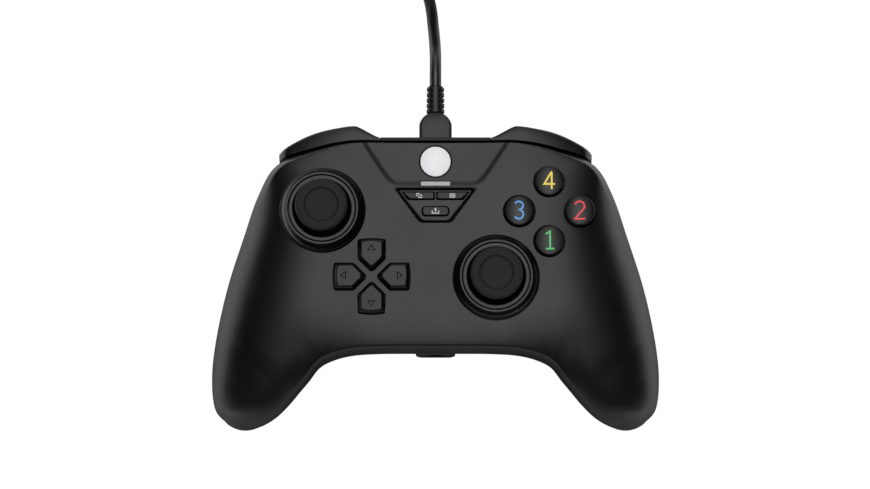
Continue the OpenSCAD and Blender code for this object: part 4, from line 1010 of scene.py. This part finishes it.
DIGITS = {
    "1": [[(-1.35, 2), (0.1, 3), (0.1, -3)], [(-1.3, -3), (1.5, -3)]],
    "2": [[*arc((-0.1, 1.35), 1.65, 160, -38), (-1.75, -3), (1.8, -3)]],
    "3": [arc((-0.2, 1.55), 1.45, 150, -90), arc((-0.2, -1.45), 1.55, 90, -150)],
    "4": [[(1.9, -1.3), (-1.8, -1.3), (0.75, 3), (0.75, -3)]],
}


def stroke(points, width):
    """Both edges of a line of even width through points, with mitred corners."""
    close = [np.array(points[0])]
    for p, q in zip(points, points[1:]):
        steps = max(1, round(math.dist(p, q) / 0.4))
        close += [np.array(p) + (np.array(q) - np.array(p)) * i / steps for i in range(1, steps + 1)]
    close = np.array(close)
    ways = np.diff(close, axis=0)
    ways = ways / np.linalg.norm(ways, axis=1)[:, None]
    before = np.vstack([ways[:1], ways])
    after = np.vstack([ways, ways[-1:]])
    turn = np.maximum(0.5, 1 + (before * after).sum(axis=1))
    side = np.stack([-(before + after)[:, 1], (before + after)[:, 0]], 1) / turn[:, None] * width / 2
    return close + side, close - side


def numeral(name, text, place):
    """A digit of thin strokes laid on the dome of a button, as an inlay."""
    points = []
    faces = []
    for line in DIGITS[text]:
        left, right = stroke(line, 0.6)
        first = len(points)
        for pair in zip(left, right):
            for depth in (0.03, -0.12):
                for x, y in pair:
                    dome = BUTTON_H - CROWN_R + math.sqrt(CROWN_R ** 2 - x * x - y * y)
                    points.append((place[0] + x, place[1] + y, FACE_Z + dome + depth))
        last = len(points) - 4
        for i in range(first, last, 4):
            faces += [(i + a, i + b, i + 4 + b, i + 4 + a) for a, b in ((0, 1), (1, 3), (3, 2), (2, 0))]
        faces += [(first, first + 1, first + 3, first + 2), (last, last + 2, last + 3, last + 1)]
    return close_mesh(make_object(name, points, faces))


NUMERALS = {"face_button_bottom": "1", "face_button_right": "2", "face_button_left": "3",
            "face_button_top": "4"}
button_profile = crown_profile(BUTTON_R, BUTTON_H, CROWN_R, 0.85)
for node, turn in BUTTONS.items():
    place = button_place(turn)
    dome = shade(revolve(node + "_dome", button_profile, (*place, FACE_Z), steps=96), 60)
    stands_for(dome, node, GLOSS)
    goes_with(numeral(node + "_numeral", NUMERALS[node], place), node, INKS[node])
home_profile = crown_profile(HOME_R, SMALL_RISE, 22, 0.3)
home = shade(revolve("home_lens", home_profile, (*HOME, FACE_Z), steps=96), 60)
stands_for(home, "home_button", LENS)
print("four face buttons and a home button")

# %% [markdown]
# ## Centre keys, panel and status light
# The view, menu and share keys come up through a sunken panel. Their marks are plain pictograms, printed
# on the tops. The status light is the end of a pale bar that comes up from the board.

# %% Centre keys, panel and status light
def rounded_levels(rise, corner):
    levels = [(KEY_GAP, -KEY_SKIRT)]
    for a in np.radians(np.linspace(0, 90, 6)):
        levels.append((KEY_GAP + corner * (1 - math.cos(a)), rise - corner + corner * math.sin(a)))
    return levels


def share_outline(inset):
    return bar_outline(9.6 - 2 * inset, 3.7 - 2 * inset, (0, 20.5), 1.75 - inset)


def bars(name, boxes, z):
    """Thin printed bars in one mesh."""
    points = []
    faces = []
    for outline in boxes:
        n = len(outline)
        first = len(points)
        points += [(x, y, z - 0.1) for x, y in outline] + [(x, y, z + 0.02) for x, y in outline]
        faces += [tuple(range(first, first + n)), tuple(range(first + n, first + 2 * n))]
        for j in range(n):
            k = (j + 1) % n
            faces.append((first + j, first + k, first + n + k, first + n + j))
    return close_mesh(make_object(name, points, faces))


def bar(x0, y0, x1, y1):
    return [(x0, y0), (x1, y0), (x1, y1), (x0, y1)]


def square_frame(x, y, size, line):
    right = x + size
    top = y + size
    return [bar(x, y, right, y + line), bar(x, top - line, right, top),
            bar(x, y + line, x + line, top - line), bar(right - line, y + line, right, top - line)]


panel_cuts = [prism("cut", flat, 30, 50)
              for flat in (view_outline(0, 1), view_outline(0, -1)[::-1], share_outline(0))]
panel = stacked("centre_panel_dress", panel_outline,
                [(0.45, -3.5), (0.45, -0.45), (0.52, -0.27), (0.7, -0.2)])
combine(panel, panel_cuts, "DIFFERENCE")
stands_for(shade(panel), "centre_panel", TRIM)
for node, outline_at in (("menu_button", lambda inset: view_outline(inset, 1)),
                         ("view_button", lambda inset: view_outline(inset, -1)),
                         ("share_button", share_outline)):
    key = shade(stacked(node + "_dress", outline_at, rounded_levels(SMALL_RISE, 0.3)))
    stands_for(key, node, KEY)
KEY_TOP = FACE_Z + SMALL_RISE
menu_mark = [bar(4.75, y, 6.75, y + 0.28) for y in (25.05, 25.61, 26.17)]
view_mark = square_frame(-6.5, 25.55, 1.05, 0.24) + square_frame(-5.75, 24.95, 1.15, 0.26)
share_mark = [bar(-1.25, 19.55, 1.25, 19.85), bar(-1.25, 19.85, -0.95, 20.6), bar(0.95, 19.85, 1.25, 20.6),
              bar(-0.15, 20.15, 0.15, 20.9), [(-0.55, 20.9), (0.55, 20.9), (0, 21.55)]]
for node, mark in (("menu_button", menu_mark), ("view_button", view_mark), ("share_button", share_mark)):
    goes_with(bars(node + "_mark", mark, KEY_TOP), node, MARK)
light = stacked("status_light", light_outline,
                [(SEAT_GAP, -10), (SEAT_GAP, -0.3), (SEAT_GAP + 0.15, -0.15)])
stands_for(shade(light), "status_light_pipe", BAR)
print("centre keys with", len(menu_mark + view_mark + share_mark), "printed bars")

# %% [markdown]
# ## Bumpers and triggers
# A bumper is a rounded wedge along the shoulder, a trigger a hooked lever below it. Both are lofts whose
# section is a smooth closed curve. The right ones are made, with their hinges, and then mirrored.

# %% Bumpers
BUMPER_RIBS = [1.28, 1.42, 1.78, 1.95, 2.3, 2.76, 3.18, 3.57, 3.88]
BUMPER_EDGE = [(19.2, TOP_Y + 2.1), (21, TOP_Y + 2.9), (26, TOP_Y + 5.7),
               (28.4, TOP_Y + 6.25), (33, TOP_Y + 5.7), (HALF_W - 37.9, TOP_Y + 4.5),
               (HALF_W - 32.4, TOP_Y + 2.7), (HALF_W - 26.8, TOP_Y),
               (HALF_W - 23.3, TOP_Y - 2.2)]
BUMPER_HIGH = [FACE_Z - d for d in (1.6, 1.6, 1.6, 1.6, 1.8, 2.6, 3.8, 5.6, 7.2)]
BUMPER_LOW = 25.8
BUMPER_GAP = 0.8
BUMPER_END = 0.86
BUMPER_END_R = 4.6


def bumper_row(v):
    last = len(BUMPER_RIBS) - 1
    rib = float(curve_through(BUMPER_RIBS, v * last)[0])
    edge = curve_through(BUMPER_EDGE, v * last)
    high = float(curve_through(BUMPER_HIGH, v * last)[0])
    past = max(0, v - BUMPER_END) / (1 - BUMPER_END)
    high -= BUMPER_END_R * (1 - math.sqrt(1 - past ** 2))
    way = rail_way(outer_rail, rib)
    root = curve_through(outer_rail, rib, True)[:2] + np.array([-way[1], way[0]]) * BUMPER_GAP
    low = BUMPER_LOW
    section = soften([(0, low), (0, high - 0.1), (0.06, high), (0.5, high), (0.84, high - 0.3),
                      (0.95, high - 0.9), (1, high - 2), (1, (high + low) / 2), (0.94, low + 1.2),
                      (0.78, low + 0.2), (0.6, low)], 9, steps=4)
    return [(*(root + (edge - root) * p), z) for p, z in section]


end_steps = (1 - BUMPER_END) * np.sin(np.linspace(0, math.pi / 2, 17)[1:])
bumper_steps = np.concatenate([np.linspace(0, BUMPER_END, 57), BUMPER_END + end_steps])
right_bumper = loft("right_bumper_dress", [bumper_row(v) for v in bumper_steps])
hinge = (HINGE_X, HINGE_Y)
hub = rod("hub", 2.4, (*hinge, 31), (*hinge, 34.2))
flange = block("flange", (HINGE_X - 1.8, HINGE_Y, 31), (HINGE_X + 1.8, TOP_Y + BUMPER_GAP + 0.9, 34.2))
combine(right_bumper, [hub, flange], "UNION")
combine(right_bumper, [rod("bore", 1.2, (*hinge, 30), (*hinge, 36))], "DIFFERENCE")


def on_both_sides(right, piece):
    """Dresses the right piece, and a mirrored copy of it on the left."""
    shade(right, 40)
    left = mirrored(right, "left_" + piece + "_dress")
    for side, obj in (("right", right), ("left", left)):
        stands_for(obj, side + "_" + piece, TRIM)
    print(piece + "s:", len(right.data.polygons), "faces each")


on_both_sides(right_bumper, "bumper")

# %% Triggers
TRIGGER_W = TRIGGER_X1 - TRIGGER_X0
TRIGGER_TOP = 24.6
TRIGGER_TIP = 5.0
PIN = (TOP_Y - 8, 23.5)
PIN_R = 1.5
LUGS = (6, TRIGGER_W - 8.3)
LUG_T = 3
LUG_R = 3.1
EARS = (LUGS[0] - 2.3, LUGS[1] + LUG_T + 0.3)
PROFILE_H = 20
trigger_profile = [(3.4, 1), (4.2, 0.85), (3.6, 0.64), (2.6, 0.44), (2.2, 0.27), (2.7, 0.12),
                   (3.6, 0.03), (3, 0), (0.8, 0.06), (-1.8, 0.22), (-4, 0.42), (-5.2, 0.66),
                   (-5.4, 0.9), (-4.6, 1)]


def shoulder_y(x):
    return TOP_Y - 6.9 * (max(0, x - TRIGGER_X0 + 1) / (TRIGGER_W + 1)) ** 1.6


def trigger_row(v):
    x = TRIGGER_X0 + TRIGGER_W * v
    pinch = 1 - 0.55 * abs(2 * v - 1) ** 6
    height = (TRIGGER_TOP - TRIGGER_TIP) * (0.94 + 0.06 * pinch)
    middle = (TRIGGER_TOP + TRIGGER_TIP) / 2
    section = soften(np.array(trigger_profile) * np.array([1, PROFILE_H]), 9, steps=4)
    return [(x, shoulder_y(x) + p * pinch, middle + height * (q / PROFILE_H - 0.5)) for p, q in section]


def on_pin(name, radius, x0, x1):
    return rod(name, radius, (TRIGGER_X0 + x0, *PIN), (TRIGGER_X0 + x1, *PIN))


trigger_steps = 0.5 - 0.5 * np.cos(np.linspace(0, math.pi, 49))
right_trigger = loft("right_trigger_dress", [trigger_row(v) for v in trigger_steps])
lugs = []
for x in LUGS:
    reach = shoulder_y(TRIGGER_X0 + x) - 3 - PIN[0]
    web = [(0, LUG_R), (0, -LUG_R), (reach, -2 * LUG_R), (reach, TRIGGER_TOP - 0.5 - PIN[1])]
    lugs.append(on_pin("lug", LUG_R, x, x + LUG_T))
    lugs.append(loft("web", [[(TRIGGER_X0 + end, PIN[0] + y, PIN[1] + z) for y, z in web]
                             for end in (x, x + LUG_T)]))
combine(right_trigger, lugs, "UNION")
bores = [on_pin("bore", PIN_R + 0.1, EARS[0] - 1, TRIGGER_W + 1),
         on_pin("room", 3.05, LUGS[0] + LUG_T, LUGS[1])]
bores += [on_pin("ear_room", 3.8, x - 0.5, x + 2.5) for x in EARS]
combine(right_trigger, bores, "DIFFERENCE")
on_both_sides(right_trigger, "trigger")

# %% [markdown]
# ## Top bridge, plug and strain relief
# A narrow bridge closes the top edge behind the face, and the plug goes in through it. The plug's end is
# a round dome in plan, and its edges are soft. The relief is a slim core with ribs across it and a spine
# along it. The ribs repeat, so a small geometry tree sets them out.

# %% Top bridge and plug
BRIDGE_BACK = 46.65
BRIDGE_TOP = 37.8
bridge_section = soften([(44.75, 19.4), (BRIDGE_BACK, 19.4), (BRIDGE_BACK, BRIDGE_TOP - 0.45),
                         (45.5, BRIDGE_TOP), (45.5, 34.6), (44.75, 33.6)], 0.15)
bridge_rows = []
for x, cut in ((-19.12, 0.5), (-18.8, 0), (18.8, 0), (19.12, 0.5)):
    bridge_rows.append([(x, min(y, BRIDGE_BACK - cut), min(z, BRIDGE_TOP - cut))
                        for y, z in bridge_section])
bridge = combine(loft("top_bridge_dress", bridge_rows), [port_cut()], "DIFFERENCE")
stands_for(shade(bridge), "top_bridge", TRIM)


def rounded_section(half_w, half_t, corner, steps=6):
    """A rounded rectangle with the same number of points at any size."""
    corner = min(corner, half_w, half_t)
    out = []
    for quarter in range(4):
        cx = (half_w - corner) * (1 if quarter in (0, 3) else -1)
        cz = (half_t - corner) * (1 if quarter in (0, 1) else -1)
        for a in np.radians(np.linspace(0, 90, steps + 1) + 90 * quarter):
            out.append((cx + corner * math.cos(a), cz + corner * math.sin(a)))
    return out


PLUG_W = 5.6
PLUG_T = 3.8
END_R = 5.7
PLUG_TIP_Y = PLUG_END_Y + 0.9
plug_rows = []
dome_start = PLUG_TIP_Y - PLUG_Y - END_R
dome_steps = dome_start + END_R * np.sin(np.linspace(0.05, 1.2, 20))
for y in np.concatenate([[0], np.linspace(0.15, dome_start, 8), dome_steps]):
    over = max(0, y - dome_start)
    half_w = min(PLUG_W, math.sqrt(END_R ** 2 - over ** 2))
    half_t = PLUG_T - 0.9 * (over / END_R) ** 4 - (0.15 if y == 0 else 0)
    plug_rows.append([(x, PLUG_Y + y, PLUG_Z + z) for x, z in rounded_section(half_w, half_t, 1.1)])
plug_rows.append([(x, PLUG_TIP_Y - 0.02, PLUG_Z + z) for x, z in rounded_section(1.95, 2.3, 1.8)])
plug = loft("plug_body", plug_rows)
tongue = block("tongue", (-4.1, TOP_Y - 10, PLUG_Z - 1.2), (4.1, PLUG_Y + 0.1, PLUG_Z + 1.2))
combine(plug, [tongue], "UNION")
stands_for(shade(plug), "cable_plug", PLUG)
print("bridge and plug")

# %% Strain relief
RIBS = 5
RIB_PITCH = 1.92


def geometry_tree(name, inputs, output):
    """A geometry tree with its sockets, and a last step that paints what it makes."""
    tree = bpy.data.node_groups.new(name, "GeometryNodeTree")
    for label, kind, value in inputs + [("Finish", "Material", None)]:
        socket = tree.interface.new_socket(name=label, in_out="INPUT", socket_type="NodeSocket" + kind)
        if value is not None:
            socket.default_value = value
    tree.interface.new_socket(name=output, in_out="OUTPUT", socket_type="NodeSocketGeometry")
    start = tree.nodes.new("NodeGroupInput")
    end = tree.nodes.new("NodeGroupOutput")
    copies = tree.nodes.new("GeometryNodeInstanceOnPoints")
    real = tree.nodes.new("GeometryNodeRealizeInstances")
    painted = tree.nodes.new("GeometryNodeSetMaterial")
    tree.links.new(copies.outputs[0], real.inputs[0])
    tree.links.new(real.outputs[0], painted.inputs["Geometry"])
    tree.links.new(start.outputs["Finish"], painted.inputs["Material"])
    tree.links.new(painted.outputs[0], end.inputs[output])
    return tree, start, copies


def ribs_tree():
    """Sets out copies of one rib along the relief, each a little smaller than the last."""
    tree, start, copies = geometry_tree("relief_ribs", [
        ("Rib", "Geometry", None), ("Count", "Int", RIBS), ("Pitch", "Float", RIB_PITCH * MM),
        ("Taper", "Float", 0.008)], "Ribs")
    step = tree.nodes.new("ShaderNodeCombineXYZ")
    line = tree.nodes.new("GeometryNodeMeshLine")
    index = tree.nodes.new("GeometryNodeInputIndex")
    scale = tree.nodes.new("ShaderNodeCombineXYZ")
    scale.inputs["Y"].default_value = 1
    shrink = math_node(tree, "MULTIPLY", index.outputs[0], start.outputs["Taper"])
    size = math_node(tree, "SUBTRACT", 1, shrink)
    for source, target in (
            (start.outputs["Pitch"], step.inputs["Y"]), (start.outputs["Count"], line.inputs["Count"]),
            (step.outputs[0], line.inputs["Offset"]), (line.outputs[0], copies.inputs["Points"]),
            (start.outputs["Rib"], copies.inputs["Instance"]), (size, scale.inputs["X"]),
            (size, scale.inputs["Z"]), (scale.outputs[0], copies.inputs["Scale"])):
        tree.links.new(source, target)
    return tree


def set_input(modifier, name, value):
    for item in modifier.node_group.interface.items_tree:
        if item.name == name and item.in_out == "INPUT":
            modifier[item.identifier] = value


def shift(obj, offset):
    for vertex in obj.data.vertices:
        vertex.co += Vector(offset) * MM
    return obj


rib_profile = [(2.2, 0.0), (2.9, 0.0), (3.1, 0.18), (3.1, 1.18), (2.9, 1.36), (2.2, 1.36)]
rib_rows = [[(r * math.cos(a), y, r * math.sin(a)) for r, y in rib_profile]
            for a in np.linspace(0, 2 * math.pi, 64, endpoint=False)]
ribs = loft("strain_relief_ribs", rib_rows, ring=True)
setting = ribs.modifiers.new("ribs", "NODES")
setting.node_group = ribs_tree()
set_input(setting, "Finish", PLUG)
settle(ribs)
shift(ribs, (0, PLUG_TIP_Y, PLUG_Z))
goes_with(shade(ribs), "cable_strain_relief", PLUG)
relief = rod("strain_relief_core", 2.35, (0, PLUG_TIP_Y, PLUG_Z), (0, RELIEF_END_Y + 0.8, PLUG_Z))
spines = []
for up in (1, -1):
    spine = soften([(-1.0, up * 2.0), (1.0, up * 2.0), (0.8, up * 3.0), (-0.8, up * 3.0)], 0.3)
    spines.append(loft("spine", [[(x, y, PLUG_Z + z) for x, z in spine]
                                 for y in (PLUG_TIP_Y, RELIEF_END_Y)]))
combine(relief, spines, "UNION")
stands_for(shade(relief), "cable_strain_relief", PLUG)
print("strain relief with", RIBS, "ribs")

# %% [markdown]
# ## Tie and computer plug
# A strap holds the put-away coil, and the plug for the computer lies on its turns. Both are outside the
# picture, and they are finished like the rest because the model is seen from all sides.

# %% Tie and computer plug
COIL_IN_R = COIL_OUT_R - PITCH * HALF_WAVE / 360
TIE_T = 1.0
TIE_W = 12.0
TIE_GAP = 0.3
near = math.sqrt((COIL_IN_R - LEAD_D / 2) ** 2 - (TIE_W / 2) ** 2) - TIE_GAP
far = COIL_OUT_R + LEAD_D / 2 + TIE_GAP
high = (LAYERS - 1) * PITCH + LEAD_D + 2 * TIE_GAP
outside = soften([(near - TIE_T, 0), (far + TIE_T, 0), (far + TIE_T, high + 2 * TIE_T),
                  (near - TIE_T, high + 2 * TIE_T)], 2.4, steps=8)
inside = soften([(near, TIE_T), (far, TIE_T), (far, high + TIE_T), (near, high + TIE_T)], 1.4, steps=8)
half = TIE_W / 2
slim = half - 0.3
tie_edge = [(-slim, 0), (-half, 0.3), (-half, 0.7), (-slim, 1),
            (slim, 1), (half, 0.7), (half, 0.3), (slim, 0)]
tie_rows = []
for (y0, z0), (y1, z1) in zip(outside, inside):
    edge = []
    for x, f in tie_edge:
        edge.append((x, COIL_Y + y0 + (y1 - y0) * f, z0 + (z1 - z0) * f))
    tie_rows.append(edge)
tie = loft("tie_strap", tie_rows, ring=True)
stands_for(shade(tie), "cable_tie", RUBBER)

across = np.array([tail_way[1], -tail_way[0], 0])


def at_tail(x, y, z):
    return tail_end + across * x + tail_way * y + np.array([0, 0, z])


grip_rows = []
for y, half_w, half_t in ((0, 3.2, 2.6), (0.8, 4.0, 3.0), (2.5, 6.2, 3.6), (5, 7.2, 3.8),
                          (9, 7.5, 3.8), (23, 7.5, 3.8), (23.7, 7.4, 3.7), (24, 7.1, 3.4)):
    grip_rows.append([at_tail(x, y, z) for x, z in rounded_section(half_w, half_t, 2.0)])
computer_plug = loft("computer_plug_grip", grip_rows)
stands_for(shade(computer_plug), "computer_plug", PLUG)
sleeve_section = rounded_section(6, 2.25, 0.5)
sleeve = loft("computer_plug_sleeve", [[at_tail(x, y, z) for x, z in sleeve_section] for y in (23.9, 36)])
hollow_section = ((-5.6, -0.2), (5.6, -0.2), (5.6, 1.8), (-5.6, 1.8))
hollow = loft("hollow", [[at_tail(x, y, z) for x, z in hollow_section] for y in (26, 40)])
combine(sleeve, [hollow], "DIFFERENCE")
goes_with(shade(sleeve), "computer_plug", STEEL)
print("tie", round(far - near, 1), "mm across inside")

# %% [markdown]
# ## Screws and what lies inside
# Five screws hold the halves together from behind. They are alike, so one is modelled, with a cross in
# its head, and a geometry tree puts a copy on each point. The board, gimbals, motors and springs keep
# their solid's shape and get the finish of the real material.

# %% Screws
def copies_tree():
    """Puts a copy of one piece on every point of a mesh."""
    tree, start, copies = geometry_tree(
        "copies_on_points", [("Points", "Geometry", None), ("Piece", "Object", None)], "Copies")
    piece = tree.nodes.new("GeometryNodeObjectInfo")
    tree.links.new(start.outputs["Points"], copies.inputs["Points"])
    tree.links.new(start.outputs["Piece"], piece.inputs["Object"])
    tree.links.new(piece.outputs["Geometry"], copies.inputs["Instance"])
    return tree


screw_profile = [(0, -1.8), (1.7, -1.8), (2.45, -1.55), (2.7, -1.1), (2.7, 0), (1.4, 0), (1.4, 9.2),
                 (0.9, 10), (0, 10)]
one_screw = revolve("one_screw", screw_profile, (0, 0, 0), steps=40)
combine(one_screw, [block("cross", (-1.5, -0.3, -2), (1.5, 0.3, -0.9)),
                    block("cross", (-0.3, -1.5, -2), (0.3, 1.5, -0.9))], "DIFFERENCE")
shade(one_screw)
seats = [(x, y, joint - SCREW_LAND) for x, y, low, joint, high in SCREWS]
screws = make_object("case_screws_dress", seats, [])
setting = screws.modifiers.new("copies", "NODES")
setting.node_group = copies_tree()
set_input(setting, "Piece", one_screw)
set_input(setting, "Finish", STEEL)
settle(screws)
bpy.data.objects.remove(one_screw)
stands_for(screws, "case_screws", STEEL)
print(len(SCREWS), "screws")

# %% Inner pieces
INNER = {
    "trigger_pins": STEEL, "trigger_springs": STEEL, "main_board": RESIN, "tact_switches": SWITCH,
    "face_button_pad": PAD, "dpad_pad": PAD, "headset_jack": STEM, "usb_port": STEEL,
}
for side in STICKS:
    for piece, material in (("stick_stem", STEM), ("stick_module", STEEL), ("stick_yoke", SWITCH),
                            ("stick_rocker", NYLON), ("trigger_bracket", TRIM), ("rumble_motor", STEEL),
                            ("rumble_weight", IRON)):
        INNER[side + "_" + piece] = material
for node, material in INNER.items():
    solid = frame["nodes"][node]
    solid.data.materials.clear()
    solid.data.materials.append(material)
print(len(INNER), "inner pieces")
